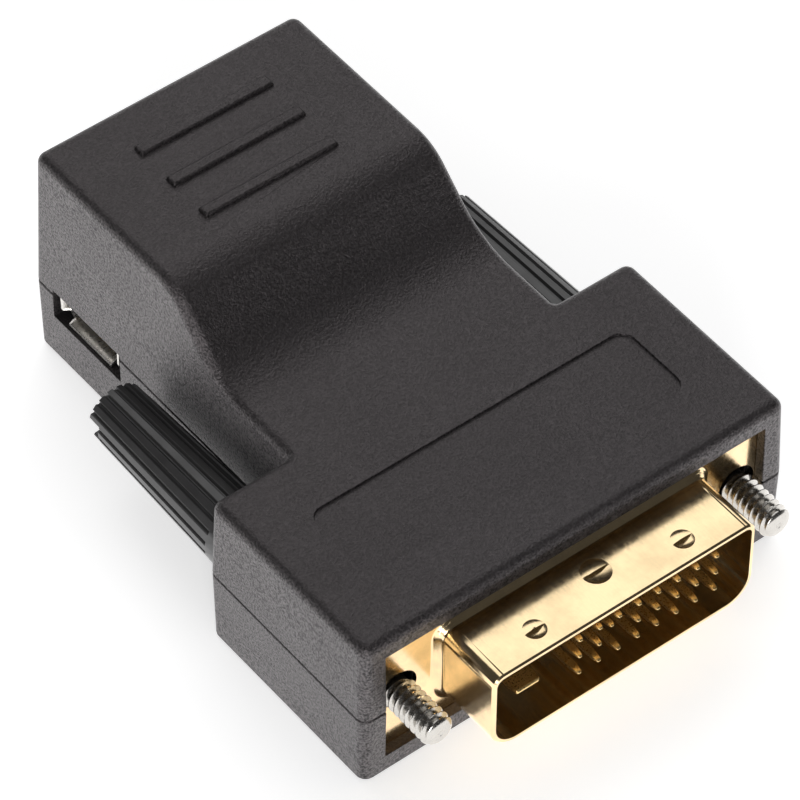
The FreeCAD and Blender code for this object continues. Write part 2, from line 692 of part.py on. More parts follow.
def add_dimple(body, x, setback, radius):
    """One lanced dimple: a lobe pressed in before the slit and one pressed out behind it."""
    lobes = (
        ("Groove", -1, False),
        ("Revolution", 1, True),
    )
    for kind, way, behind in lobes:
        sketch = make_sketch(body, "XZ", f"{setback} - plug_reach",
                             centre=(x, "axis_height + plug_height / 2"))
        root = f"{-way} * plug_sheet / 4"
        draw_outline(sketch, ("0", root), (radius, root), (radius, "0"), ("0", f"{way} * dimple_depth"))
        spin(kind, sketch, "V", 180, backwards=behind)


def make_plug_shell():
    """The plug's drawn front shell."""
    body = make_body("plug_shell")
    add_flange(body, "front_lip")
    tube = make_sketch(body, "XZ", "-1 * plug_reach")
    draw_plug_shape(tube, "0")
    pad(tube, "plug_reach + front_lip + plug_sheet")
    hollow = make_sketch(body, "XZ", "-1 * plug_reach")
    draw_plug_shape(hollow, "-1 * plug_sheet")
    pocket(hollow, "plug_reach + front_lip + plug_sheet")
    soften("Chamfer", body, "plug_root_bevel",
           lambda middle, way: near(middle.y, "front_lip") and on_plug_outline(middle, "0"))
    soften("Chamfer", body, "plug_back_bevel",
           lambda middle, way: near(middle.y, "front_lip + plug_sheet")
           and on_plug_outline(middle, "-1 * plug_sheet", 0.1))
    soften("Chamfer", body, "plug_rim_bevel",
           lambda middle, way: near(middle.y, "-1 * plug_reach")
           and not on_plug_outline(middle, "-1 * plug_sheet", 0.1))
    dimples = (
        ("-1 * dimple_spacing", "dimple_setback", "dimple_radius"),
        ("0", "middle_dimple_setback", "middle_dimple_radius"),
        ("dimple_spacing", "dimple_setback", "dimple_radius"),
    )
    for x, setback, radius in dimples:
        add_dimple(body, x, setback, radius)
    return body


def make_plug_back_shell():
    """The plug's rear shell, whose flange backs the front one and whose tube holds the insulator."""
    body = make_body("plug_back_shell")
    add_flange(body, "front_lip + plug_sheet")
    bore = "shoulder_rise - plug_sheet"
    tube = make_sketch(body, "XZ", "front_lip + plug_sheet")
    draw_plug_shape(tube, f"{bore} + plug_sheet")
    pad(tube, "shoulder_length - back_shell_margin")
    hollow = make_sketch(body, "XZ", "front_lip + plug_sheet")
    draw_plug_shape(hollow, bore)
    pocket(hollow, "shoulder_length")
    return body


CONTACT_ROWS = {
    "upper": ("1", "tail_setback + 2 * tail_pitch"),
    "middle": ("0", "tail_setback + tail_pitch"),
    "lower": ("-1", "tail_setback"),
}


def make_plug_insulator():
    """The moulded block that fills the shells and holds the contacts."""
    body = make_body("plug_insulator")
    nose = make_sketch(body, "XZ", "insulator_face")
    draw_plug_shape(nose, "-1 * plug_sheet - insulator_play")
    pad(nose, "insulator_back - (insulator_face)")
    shoulder = make_sketch(body, "XZ", "front_lip + plug_sheet")
    draw_plug_shape(shoulder, "shoulder_rise - plug_sheet - insulator_play")
    pad(shoulder, "shoulder_length")
    slots = make_sketch(body, "XZ", "insulator_face", centre=("first_column", "axis_height"))
    half_width = "(contact_width / 2 + contact_play)"
    half_sheet = "(contact_sheet / 2 + contact_play)"
    for row, _ in CONTACT_ROWS.values():
        draw_rectangle(slots, f"-1 * {half_width}", half_width,
                       f"{row} * contact_pitch - {half_sheet}", f"{row} * contact_pitch + {half_sheet}")
    through = "insulator_back - (insulator_face)"
    repeat(body, pocket(slots, through), "X", "contact_pitch", "contact_columns")
    slit = make_sketch(body, "XZ", "insulator_face", centre=("-1 * blade_shift", "axis_height - blade_drop"))
    draw_rectangle(slit, "-1 * (blade_width / 2 + contact_play)", "blade_width / 2 + contact_play",
                   "-1 * (blade_sheet / 2 + contact_play)", "blade_sheet / 2 + contact_play")
    pocket(slit, through)
    return body


def make_bent_strip(label, x, height, width, thickness, tip, tail):
    """A strip that runs back from its tip, turns down and ends in a tail under the board."""
    body = make_body(label)
    strip = make_sketch(body, "YZ", x)
    rear = f"insulator_back + {tail} + {thickness} / 2"
    end = "board_height - tail_stub"
    draw_outline(
        strip,
        (tip, f"{height} - {thickness} / 2"),
        (f"{rear} - {thickness}", f"{height} - {thickness} / 2"),
        (f"{rear} - {thickness}", end),
        (rear, end),
        (rear, f"{height} + {thickness} / 2"),
        (tip, f"{height} + {thickness} / 2"),
    )
    pad(strip, width, both_ways=True)
    soften("Chamfer", body, "contact_bevel", lambda middle, way: near(middle.y, tip))
    return body


def make_contact_row(name):
    """One row of the plug's contacts."""
    row, tail = CONTACT_ROWS[name]
    height = f"(axis_height + {row} * contact_pitch)"
    tip = "contact_setback - plug_reach"
    body = make_bent_strip(f"plug_contacts_{name}", "first_column", height, "contact_width",
                           "contact_sheet", tip, tail)
    repeat(body, None, "X", "contact_pitch", "contact_columns")
    if name == "middle":
        column = "first_column + (short_contact - 1) * contact_pitch"
        clip = make_sketch(body, "XZ", tip, centre=(column, height))
        draw_rectangle(clip, "-1 * contact_width", "contact_width", "-1 * contact_width", "contact_width")
        pocket(clip, "short_contact_step")
        soften("Chamfer", body, "contact_bevel",
               lambda middle, way: near(middle.y, f"{tip} + short_contact_step"))
    return body


def make_ground_blade():
    """The flat ground blade beside the contacts."""
    return make_bent_strip("ground_blade", "-1 * blade_shift", "(axis_height - blade_drop)", "blade_width",
                           "blade_sheet", "blade_setback - plug_reach", CONTACT_ROWS["middle"][1])


# Thumbscrews

def make_screw(name, side):
    """A jackscrew: a rod with a thicker, threaded front end."""
    body = make_body(f"{name}_screw", f"{side} * screw_spacing / 2", "screw_height")
    half = make_sketch(body, "YZ")
    tip = "-1 * screw_reach"
    end = "block_depth + knob_play + screw_grip"
    draw_outline(
        half,
        (tip, "0"),
        (end, "0"),
        (end, "shank_radius"),
        (f"{tip} + thread_length", "shank_radius"),
        (f"{tip} + thread_length", "screw_radius"),
        (tip, "screw_radius"),
    )
    spin("Revolution", half, "H")
    return body


def make_knob(name, side):
    """A tapered many-sided knob with flutes, a coin slot, a neck through the wall and a head inside it."""
    body = make_body(f"{name}_knob", f"{side} * screw_spacing / 2", "screw_height")
    front = "block_depth + knob_play"
    rear = f"{front} + knob_length"
    spread = "knob_front_radius - knob_rear_radius"
    sides = make_sketch(body, "XZ", front)
    draw_many_sided(sides, "0", "0", "knob_front_radius", "flute_count")
    pad(sides, "knob_length")
    lean_walls(body, Vector(0, 1, 0), front, f"atan(({spread}) * cos(180 / flute_count) / knob_length)")
    cut_flutes(body, f"{front} + knob_collar", f"knob_front_radius - ({spread}) * knob_collar / knob_length",
               f"-1 * atan(({spread}) / knob_length)")
    add_knob_neck(body, front)
    slot = make_sketch(body, "XZ", rear, turn="slot_angle")
    draw_rectangle(slot, "-1 * knob_front_radius", "knob_front_radius",
                   "-1 * slot_width / 2", "slot_width / 2")
    pocket(slot, "slot_depth", forward=False)
    return body


def cut_flutes(body, start, radius, taper):
    """Cuts a flute along each corner of the knob, parallel to its taper, from the collar on."""
    section = make_sketch(body, "XZ", start, ("0", radius), taper, Vector(1, 0, 0))
    draw_outline(
        section,
        ("-1 * flute_floor / 2", "-1 * flute_depth"),
        ("flute_floor / 2", "-1 * flute_depth"),
        ("flute_width - flute_floor / 2", "flute_depth"),
        ("flute_floor / 2 - flute_width", "flute_depth"),
    )
    flute = pocket(section, "knob_length")
    ring = body.newObject("PartDesign::PolarPattern", f"{body.Label}_flutes")
    ring.Originals = [flute]
    ring.Axis = (origin_part(body, "Y_Axis"), [""])
    ring.Angle = 360
    bind(ring, "Occurrences", "flute_count")
    body.Tip = ring
    doc.recompute()


def add_knob_neck(body, front):
    """Adds the knob's neck and head, and bores the knob for its screw."""
    head_rear = "block_inner - head_play"
    head_front = f"{head_rear} - head_length"
    half = make_sketch(body, "YZ")
    draw_outline(
        half,
        (head_front, "0"),
        (f"{front} + slot_depth", "0"),
        (f"{front} + slot_depth", "neck_radius"),
        (head_rear, "neck_radius"),
        (head_rear, "head_radius"),
        (head_front, "head_radius"),
    )
    spin("Revolution", half, "H")
    bore = make_sketch(body, "XZ", head_front)
    draw_circle(bore, "0", "0", "shank_radius + screw_play")
    pocket(bore, f"{front} + screw_grip - ({head_front})")


# Board and what stands on it

def make_circuit_board():
    """The circuit board, cut out for contacts, pins and pegs."""
    body = make_body("circuit_board")
    plate = make_sketch(body, "XY", "board_height")
    length = "(board_rear - (board_front))"
    middle = f"board_front + {length} / 2"
    draw_rounded(plate, middle, "board_width / 2", f"{length} / 2", "board_round", "board_round")
    for side in ("-1", "1"):
        draw_many_sided(plate, f"{side} * post_spacing / 2", "post_depth", "pin_radius + pin_play",
                        "round_sides")
        draw_many_sided(plate, f"{side} * peg_spacing / 2", "jack_face - peg_setback",
                        "peg_radius + peg_play", "round_sides")
    blade_row = f"insulator_back + {CONTACT_ROWS['middle'][1]}"
    draw_rectangle(
        plate,
        "-1 * (blade_shift + blade_width / 2 + tail_hole_play)",
        "-1 * (blade_shift - blade_width / 2 - tail_hole_play)",
        f"{blade_row} - blade_sheet / 2 - tail_hole_play",
        f"{blade_row} + blade_sheet / 2 + tail_hole_play",
    )
    wire_middle = "jack_back + jack_sheet + wire_width / 2"
    draw_rectangle(
        plate,
        "-1 * (wire_count - 1) / 2 * wire_pitch - wire_width",
        "(wire_count - 1) / 2 * wire_pitch + wire_width",
        f"{wire_middle} - wire_width",
        f"{wire_middle} + wire_width",
    )
    pad(plate, "board_sheet")
    slots = make_sketch(body, "XY", "board_height", centre=("first_column", "insulator_back"))
    half_sheet = "(contact_sheet / 2 + tail_hole_play)"
    for _, tail in CONTACT_ROWS.values():
        draw_rectangle(slots, "-1 * contact_width", "(contact_columns - 1) * contact_pitch + contact_width",
                       f"{tail} - {half_sheet}", f"{tail} + {half_sheet}")
    pocket(slots, "board_sheet")
    return body


def draw_socket_window(sketch, play):
    """The network socket's window: the cavity, the latch's step and the slot under it."""
    floor = "(board_top + socket_floor)"
    step = f"{floor} - latch_height"
    low = f"{step} - catch_height"
    half = f"(socket_width / 2 + {play})"
    latch = f"(latch_width / 2 + {play})"
    catch = f"(catch_width / 2 + {play})"
    draw_outline(
        sketch,
        (f"-1 * {catch}", f"{low} - {play}"),
        (catch, f"{low} - {play}"),
        (catch, f"{step} - {play}"),
        (latch, f"{step} - {play}"),
        (latch, f"{floor} - {play}"),
        (half, f"{floor} - {play}"),
        (half, f"{floor} + socket_height + {play}"),
        (f"-1 * {half}", f"{floor} + socket_height + {play}"),
        (f"-1 * {half}", f"{floor} - {play}"),
        (f"-1 * {latch}", f"{floor} - {play}"),
        (f"-1 * {latch}", f"{step} - {play}"),
        (f"-1 * {catch}", f"{step} - {play}"),
    )


def make_socket_shield():
    """The network socket's folded can, open at the bottom and round the window."""
    body = make_body("network_socket_shield")
    can = make_sketch(body, "XY", "board_top")
    draw_rectangle(can, "-1 * jack_width / 2", "jack_width / 2", "jack_back", "jack_face")
    pad(can, "jack_height")
    soften("Fillet", body, "jack_sheet * 2",
           lambda middle, way: way.y > ALONG and near(middle.z, "board_top + jack_height"))
    room = make_sketch(body, "XY", "board_top")
    draw_rectangle(room, "-1 * jack_width / 2 + jack_sheet", "jack_width / 2 - jack_sheet",
                   "jack_back + jack_sheet", "jack_face - jack_sheet")
    pocket(room, "jack_height - jack_sheet")
    window = make_sketch(body, "XZ", "jack_face - 2 * jack_sheet")
    draw_socket_window(window, "jack_sheet / 2")
    pocket(window, "3 * jack_sheet")
    return body


def make_socket_body():
    """The network socket's moulded body, with its cavity, wire grooves and pegs."""
    body = make_body("network_socket_body")
    block = make_sketch(body, "XY", "board_top")
    half = "(jack_width / 2 - jack_sheet - socket_play)"
    draw_rectangle(block, f"-1 * {half}", half,
                   "jack_back + jack_sheet + socket_play", "jack_face - jack_sheet")
    pad(block, "jack_height - jack_sheet - socket_play")
    cavity = make_sketch(body, "XZ", "jack_face - jack_sheet")
    draw_rectangle(cavity, "-1 * socket_width / 2", "socket_width / 2",
                   "board_top + socket_floor", "board_top + socket_floor + socket_height")
    pocket(cavity, "socket_depth", forward=False)
    latch = make_sketch(body, "XZ", "jack_face - jack_sheet")
    draw_socket_window(latch, "0")
    pocket(latch, "latch_depth", forward=False)
    groove = make_sketch(body, "YZ", "first_wire")
    wide = "(wire_width + 2 * wire_play)"
    ceiling = "board_top + socket_floor + socket_height"
    draw_outline(
        groove,
        ("jack_back", "board_top - peg_radius"),
        (f"jack_back + jack_sheet + {wide}", "board_top - peg_radius"),
        (f"jack_back + jack_sheet + {wide}", f"{ceiling} - wire_play"),
        ("jack_face - wire_setback + wire_play", f"{ceiling} - wire_play"),
        ("jack_face - wire_setback + wire_play", f"{ceiling} + {wide}"),
        ("jack_back", f"{ceiling} + {wide}"),
    )
    repeat(body, pocket(groove, wide, both_ways=True), "X", "wire_pitch", "wire_count")
    pegs = make_sketch(body, "XY", "board_height")
    for side in ("-1", "1"):
        draw_many_sided(pegs, f"{side} * peg_spacing / 2", "jack_face - peg_setback", "peg_radius",
                        "round_sides")
    pad(pegs, "board_sheet + jack_sheet")
    return body


def make_socket_wires():
    """The network socket's spring wires, each soldered behind and sprung into the cavity."""
    body = make_body("network_socket_contacts")
    ceiling = "(board_top + socket_floor + socket_height + wire_play)"
    front = "jack_face - wire_setback"
    rear = "jack_back + jack_sheet + wire_play"
    upright = make_sketch(body, "YZ", "first_wire")
    draw_outline(
        upright,
        (rear, "board_height - tail_stub"),
        (f"{rear} + wire_width", "board_height - tail_stub"),
        (f"{rear} + wire_width", ceiling),
        (front, ceiling),
        (front, f"{ceiling} + wire_width"),
        (rear, f"{ceiling} + wire_width"),
    )
    pad(upright, "wire_width", both_ways=True)
    thick = "wire_width * sqrt(1 + (wire_drop / wire_run)^2)"
    slope = make_sketch(body, "YZ", "first_wire")
    draw_outline(
        slope,
        (f"{front} - wire_run", f"{ceiling} + wire_width - wire_drop - {thick}"),
        (front, f"{ceiling} + wire_width - {thick}"),
        (front, f"{ceiling} + wire_width"),
        (f"{front} - wire_run", f"{ceiling} + wire_width - wire_drop"),
    )
    pad(slope, "wire_width", both_ways=True)
    repeat(body, None, "X", "wire_pitch", "wire_count")
    return body


def draw_usb_shape(sketch, growth):
    """The USB socket's outline across X, with bevelled lower corners."""
    half = f"(usb_width / 2 + {growth})"
    low = f"board_top - ({growth})"
    top = f"board_top + usb_height + {growth}"
    draw_outline(
        sketch,
        (f"usb_middle - {half} + usb_bevel", low),
        (f"usb_middle + {half} - usb_bevel", low),
        (f"usb_middle + {half}", f"{low} + usb_bevel"),
        (f"usb_middle + {half}", top),
        (f"usb_middle - {half}", top),
        (f"usb_middle - {half}", f"{low} + usb_bevel"),
    )


def make_usb_shell():
    """The USB socket's folded shell, with four flared lips round its mouth."""
    body = make_body("usb_shell")
    mouth = "usb_face + usb_lip_length"
    tube = make_sketch(body, "YZ", mouth)
    draw_usb_shape(tube, "0")
    pad(tube, "usb_length - usb_lip_length")
    flare = (("AdditiveLoft", "0"), ("SubtractiveLoft", "-1 * usb_sheet"))
    for kind, growth in flare:
        inner = make_sketch(body, "YZ", mouth)
        draw_usb_shape(inner, growth)
        outer = make_sketch(body, "YZ", "usb_face")
        draw_usb_shape(outer, f"{growth} + usb_lip")
        loft(kind, inner, outer)
    hollow = make_sketch(body, "YZ", mouth)
    draw_usb_shape(hollow, "-1 * usb_sheet")
    pocket(hollow, "usb_length")
    for side in ("-1", "1"):
        corner = f"usb_middle + {side} * usb_width / 2"
        gaps = make_sketch(body, "YZ", "usb_face", centre=(corner, "board_top"))
        draw_rectangle(gaps, "-1 * usb_bevel", "usb_bevel", "-1 * usb_bevel", "usb_bevel")
        draw_rectangle(gaps, "-1 * usb_bevel / 2", "usb_bevel / 2",
                       "usb_height - usb_lip", "usb_height + usb_bevel")
        pocket(gaps, "usb_lip_length")
    heel = make_sketch(body, "YZ", "usb_face + usb_length - usb_heel_length")
    draw_rectangle(heel, "usb_middle - usb_row_half", "usb_middle + usb_row_half",
                   "board_top - usb_sheet", "board_top + 2 * usb_sheet")
    pocket(heel, "usb_length")
    return body


def make_usb_tongue():
    """The USB socket's moulded tongue and the block that closes the shell behind."""
    body = make_body("usb_tongue")
    rear = "usb_face + usb_length - usb_heel_length"
    block = make_sketch(body, "YZ", f"{rear} - usb_base_length")
    draw_usb_shape(block, "-1 * usb_sheet - socket_play")
    pad(block, "usb_base_length")
    tongue = make_sketch(body, "YZ", "usb_face + tongue_setback")
    draw_rectangle(tongue, "usb_middle - tongue_width / 2", "usb_middle + tongue_width / 2",
                   "board_top + tongue_rise", "board_top + tongue_rise + tongue_sheet")
    pad(tongue, "usb_length - usb_heel_length - tongue_setback")
    grooves = make_sketch(body, "YZ", f"{rear} - usb_base_length")
    half = "(usb_contact_width / 2 + wire_play)"
    for number in range(round(value("usb_count"))):
        place = f"usb_middle + ({number} - (usb_count - 1) / 2) * usb_pitch"
        draw_rectangle(grooves, f"{place} - {half}", f"{place} + {half}",
                       "board_top + tongue_rise - usb_contact_sheet - wire_play", "board_top + tongue_rise")
    pocket(grooves, "usb_base_length")
    return body


def make_usb_contacts():
    """The USB socket's contacts, under the tongue and down to the board behind it."""
    body = make_body("usb_contacts")
    strip = make_sketch(body, "XZ", "usb_middle - (usb_count - 1) / 2 * usb_pitch")
    high = "board_top + tongue_rise"
    low = f"{high} - usb_contact_sheet"
    rear = "usb_face + usb_length - usb_heel_length + usb_contact_sheet"
    tip = "usb_face + tongue_setback + usb_contact_width"
    draw_outline(
        strip,
        (tip, low),
        (rear, low),
        (rear, "board_top"),
        (f"{rear} + usb_contact_sheet", "board_top"),
        (f"{rear} + usb_contact_sheet", high),
        (tip, high),
    )
    pad(strip, "usb_contact_width", both_ways=True)
    repeat(body, None, "Y", "usb_pitch", "usb_count")
    return body


def make_block_part(label, x, y, length, width, height, bevel=None):
    """A plain part on the board, with its top bevelled."""
    body = make_body(label)
    plan = make_sketch(body, "XY", "board_top", centre=(x, y))
    draw_rectangle(plan, f"-1 * {length} / 2", f"{length} / 2", f"-1 * {width} / 2", f"{width} / 2")
    pad(plan, height)
    if bevel:
        soften("Chamfer", body, bevel, lambda middle, way: near(middle.z, f"board_top + {height}"))
    return body


def make_board_parts():
    """The chips and small parts that stand on the board."""
    make_block_part("main_chip", "0", "chip_depth", "chip_size", "chip_size", "chip_height", "chip_bevel")
    regulator = make_block_part("regulator_chip", "parts_spacing", "parts_depth", "regulator_length",
                                "regulator_width", "regulator_height", "chip_bevel")
    for side, legs in (("-1", ("-1", "0", "1")), ("1", ("-1", "1"))):
        foot = make_sketch(regulator, "XY", "board_top", centre=("parts_spacing", "parts_depth"))
        for leg in legs:
            place = f"{leg} * leg_pitch"
            inner = f"{side} * (regulator_width / 2 - leg_width / 2)"
            outer = f"{side} * (regulator_width / 2 + leg_width)"
            low, high = (outer, inner) if side == "-1" else (inner, outer)
            draw_rectangle(foot, f"{place} - leg_width / 2", f"{place} + leg_width / 2", low, high)
        pad(foot, "leg_width / 2")
    coil = make_block_part("power_coil", "0", "parts_depth", "coil_size", "coil_size", "coil_base")
    winding = make_sketch(coil, "XY", "board_top", centre=("0", "parts_depth"))
    draw_many_sided(winding, "0", "0", "coil_size / 2 - chip_bevel", "round_sides")
    pad(winding, "coil_height")
    crystal = make_block_part("crystal_can", "-1 * parts_spacing", "parts_depth", "crystal_length",
                              "crystal_width", "crystal_base")
    lid = make_sketch(crystal, "XY", "board_top", centre=("-1 * parts_spacing", "parts_depth"))
    draw_rectangle(lid, "-1 * crystal_length / 2 + chip_bevel", "crystal_length / 2 - chip_bevel",
                   "-1 * crystal_width / 2 + chip_bevel", "crystal_width / 2 - chip_bevel")
    pad(lid, "crystal_height")
    chips = make_body("chip_capacitors")
    first = "-1 * (capacitor_count - 1) / 2 * capacitor_pitch"
    for side in ("-1", "1"):
        row = f"parts_depth + {side} * capacitor_offset"
        plan = make_sketch(chips, "XY", "board_top", centre=(first, row))
        draw_rectangle(plan, "-1 * capacitor_length / 2", "capacitor_length / 2",
                       "-1 * capacitor_width / 2", "capacitor_width / 2")
        pad(plan, "capacitor_width")
    repeat(chips, None, "X", "capacitor_pitch", "capacitor_count")


def write_parts():
    """Checks every object and writes each body to its own file."""
    doc.recompute()
    failed = [item.Label for item in doc.Objects if {"Invalid", "Error"} & set(item.State)]
    if failed:
        raise RuntimeError(f"these objects failed: {failed}")
    os.makedirs("parts", exist_ok=True)
    for body in doc.findObjects("PartDesign::Body"):
        if body.Shape.isNull() or not body.Shape.isValid():
            raise RuntimeError(f"{body.Label} has no valid shape")
        body.Shape.exportStep(f"parts/{body.Label}.step")
        print(f"{body.Label}: {len(body.Shape.Solids)} solids, {body.Shape.Volume:.2f} mm3")


make_upper_shell()
make_lower_shell()
make_plug_shell()
make_plug_back_shell()
make_plug_insulator()
for row_name in CONTACT_ROWS:
    make_contact_row(row_name)
make_ground_blade()
for screw_name, screw_side in (("left", "-1"), ("right", "1")):
    make_screw(screw_name, screw_side)
    make_knob(screw_name, screw_side)
make_circuit_board()
make_socket_shield()
make_socket_body()
make_socket_wires()
make_usb_shell()
make_usb_tongue()
make_usb_contacts()
make_board_parts()
write_parts()
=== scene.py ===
"""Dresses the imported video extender: finished pieces, their materials and a small photo studio."""

import json
import math

import bpy
from bpy.props import FloatProperty, FloatVectorProperty, IntProperty, PointerProperty
from bpy.types import Operator, Panel, PropertyGroup
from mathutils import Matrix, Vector


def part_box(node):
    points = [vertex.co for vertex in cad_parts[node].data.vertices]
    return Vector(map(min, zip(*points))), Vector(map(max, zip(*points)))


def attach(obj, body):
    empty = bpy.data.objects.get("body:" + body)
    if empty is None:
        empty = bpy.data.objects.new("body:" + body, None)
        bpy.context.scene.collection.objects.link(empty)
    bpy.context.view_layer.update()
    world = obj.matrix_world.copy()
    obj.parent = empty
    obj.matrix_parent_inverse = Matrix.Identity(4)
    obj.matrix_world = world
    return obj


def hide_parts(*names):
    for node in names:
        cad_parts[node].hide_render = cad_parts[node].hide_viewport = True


bl_info = {
    "name": "Video Extender Dresser",
    "version": (1, 0, 0),
    "blender": (4, 5, 0),
    "location": "View3D > Sidebar > Extender",
    "description": "Builds the finished pieces, materials and studio of a plug-in video extender",
    "category": "Object",
}

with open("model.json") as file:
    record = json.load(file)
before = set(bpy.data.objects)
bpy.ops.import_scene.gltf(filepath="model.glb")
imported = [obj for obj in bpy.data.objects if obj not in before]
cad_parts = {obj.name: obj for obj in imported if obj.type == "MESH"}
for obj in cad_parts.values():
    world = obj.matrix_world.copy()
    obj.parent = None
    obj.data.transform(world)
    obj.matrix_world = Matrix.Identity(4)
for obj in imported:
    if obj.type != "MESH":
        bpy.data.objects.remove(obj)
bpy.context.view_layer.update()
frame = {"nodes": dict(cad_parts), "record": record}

MM = 0.001

# Doubles of the frame's loose triangles lie closer together than this.
MERGE_DISTANCE = 2e-6
# Points closer than this to a cutting plane count as lying in it.
CUT_DISTANCE = 1e-7
# Facets that meet at less than this angle lie in one flat face.
FLAT_ANGLE = math.radians(0.4)
# Facets that meet at less than this angle belong to one rounded face.
SMOOTH_ANGLE = math.radians(32)
# A face whose normal leans this far along Y looks towards the plug's front.
FRONT_NORMAL = -0.9
# Turns a new cylinder from upright to lying along Y.
LYING = (math.pi / 2, 0, 0)

# Steps in the rounding of common edges, of the plug shell's root and rims, of the contacts' tips
# and of the screws' ends.
EDGE_SEGMENTS = 2
ROOT_SEGMENTS = 4
RIM_SEGMENTS = 3
TIP_SEGMENTS = 3
SCREW_SEGMENTS = 6

BODY_OF = {
    node: body
    for body, nodes in frame["record"]["behaviour"]["bodies"].items()
    for node in nodes
}
SLOT_OF = {row["node"]: row["material_slot"] for row in frame["record"]["subparts"]}
# Nodes whose faces have openings that one flat face can't hold.
KEPT_TRIANGLES = ("network_socket_body",)


def length(name, description, default):
    """A size in metres that the sidebar shows."""
    return FloatProperty(name=name, description=description, default=default, min=0.0,
                         precision=5, subtype="DISTANCE", unit="LENGTH")


def colour(name, description, default):
    """A linear colour that the sidebar shows."""
    return FloatVectorProperty(name=name, description=description, default=default, size=3,
                               min=0.0, max=1.0, subtype="COLOR")


class ExtenderSizes(PropertyGroup):
    """Sizes of the details that the finish adds."""
    housing_edge: length("Housing edge", "Rounding of the housing's sharp edges", 0.08 * MM)
    metal_edge: length("Metal edge", "Rounding of the sheet metal's edges", 0.07 * MM)
    contact_edge: length("Contact edge", "Rounding of the contacts' edges", 0.05 * MM)
    fine_edge: length("Fine edge", "Rounding of the power socket's contacts", 0.02 * MM)
    tip_reach: length("Tip taper", "Length over which a contact's tip narrows", 0.9 * MM)
    tip_round: length("Tip rounding", "Rounding of a contact's flat tip", 0.08 * MM)
    knob_edge: length("Knob edge", "Rounding of the knobs' ridges", 0.06 * MM)
    thread_pitch: length("Thread pitch", "Distance between two turns of the thread", 0.635 * MM)
    thread_depth: length("Thread depth", "Depth of the screws' thread", 0.34 * MM)
    thread_reach: length("Thread length", "Length of the thread from the screw's end", 5.1 * MM)
    screw_bevel: length("Screw end bevel", "Bevel of the screw's end", 0.66 * MM)
    screw_mark: length("Screw end mark", "Depth of the mark in the screw's end", 0.18 * MM)
    shank_radius: length("Shank radius", "Radius of the screw behind its thread", 1.2 * MM)
    dimple_depth: length("Dimple depth", "How far a dimple's front lobe sinks", 0.21 * MM)
    dimple_rise: length("Dimple rise", "How far a dimple's rear lobe stands out", 0.11 * MM)
    root_round: length("Shell root", "Rounding between the plug's shell and flange", 0.28 * MM)
    grain: length("Housing grain", "Size of the housing's spark-eroded grain", 0.19 * MM)
    fine_grain: length("Fine grain", "Size of the knobs' and insulators' grain", 0.07 * MM)
    thread_steps: IntProperty(name="Thread steps", description="Steps in one turn of the thread",
                              default=40, min=12, max=96)


class ExtenderColours(PropertyGroup):
    """Colours of the finishes."""
    housing: colour("Housing", "Charcoal plastic of the housing", (0.0105, 0.0094, 0.0098))
    knob: colour("Knobs", "Black plastic of the knobs", (0.030, 0.029, 0.0295))
    gold: colour("Gold shell", "Gold plating of the plug's shell", (0.83, 0.64, 0.38))
    contact: colour("Contacts", "Gold plating of the contacts", (0.86, 0.62, 0.28))
    nickel: colour("Nickel", "Nickel plating of the socket shells", (0.64, 0.62, 0.59))
    steel: colour("Screws", "Nickel plated steel of the screws", (0.52, 0.50, 0.47))
    insulator: colour("Insulators", "Plastic that holds the contacts", (0.012, 0.012, 0.013))
    board: colour("Board", "Solder mask of the circuit board", (0.02, 0.13, 0.05))
    chip: colour("Chips", "Moulded body of the chips", (0.02, 0.02, 0.02))
    coil: colour("Coil", "Ferrite of the supply coil", (0.06, 0.06, 0.065))
    can: colour("Can", "Drawn metal lid of the crystal", (0.72, 0.71, 0.68))
    ceramic: colour("Capacitors", "Fired ceramic of the capacitors", (0.42, 0.31, 0.2))
    floor: colour("Floor", "Pale studio floor", (0.86, 0.86, 0.86))


# Selecting and shaping

def close_edit():
    """Leaves edit mode, which puts the changes into the mesh."""
    bpy.ops.object.mode_set(mode="OBJECT")


def clear_selection():
    """Leaves edit mode and deselects everything."""
    if bpy.context.object and bpy.context.object.mode != "OBJECT":
        close_edit()
    bpy.ops.object.select_all(action="DESELECT")


def pick(piece):
    """Makes one object the only selected and active one."""
    clear_selection()
    piece.select_set(True)
    bpy.context.view_layer.objects.active = piece


def settle(piece):
    """Puts the object's place, turn and scale into its mesh."""
    pick(piece)
    bpy.ops.object.transform_apply(location=True, rotation=True, scale=True)


def edit(piece, mode, action="DESELECT"):
    """Opens a mesh in edit mode with none or all of its points, edges or faces selected."""
    pick(piece)
    bpy.ops.object.mode_set(mode="EDIT")
    bpy.ops.mesh.select_mode(type=mode)
    bpy.ops.mesh.select_all(action=action)


def select_where(piece, parts, wanted):
    """Selects the points, edges or faces of a mesh that are wanted, and opens it in edit mode."""
    edit(piece, {"vertices": "VERT", "edges": "EDGE", "polygons": "FACE"}[parts])
    close_edit()
    found = 0
    for item in getattr(piece.data, parts):
        item.select = bool(wanted(item))
        found += item.select
    if not found:
        raise RuntimeError(f"{piece.name} has no {parts} to select")
    bpy.ops.object.mode_set(mode="EDIT")


def keep_edges(piece, wanted):
    """Deselects the selected edges of a mesh in edit mode that aren't wanted."""
    close_edit()
    for edge in piece.data.edges:
        edge.select = edge.select and wanted(edge)
    bpy.ops.object.mode_set(mode="EDIT")


def ends_of(piece, edge):
    """The places of an edge's two ends."""
    return [piece.data.vertices[number].co for number in edge.vertices]


def faces_front(face):
    """Whether a face looks towards the plug's front."""
    return face.normal.y < FRONT_NORMAL


def dissolve_flat():
    """Joins the facets of the mesh in edit mode that lie in one flat face."""
    bpy.ops.mesh.select_all(action="SELECT")
    bpy.ops.mesh.dissolve_limited(angle_limit=FLAT_ANGLE)


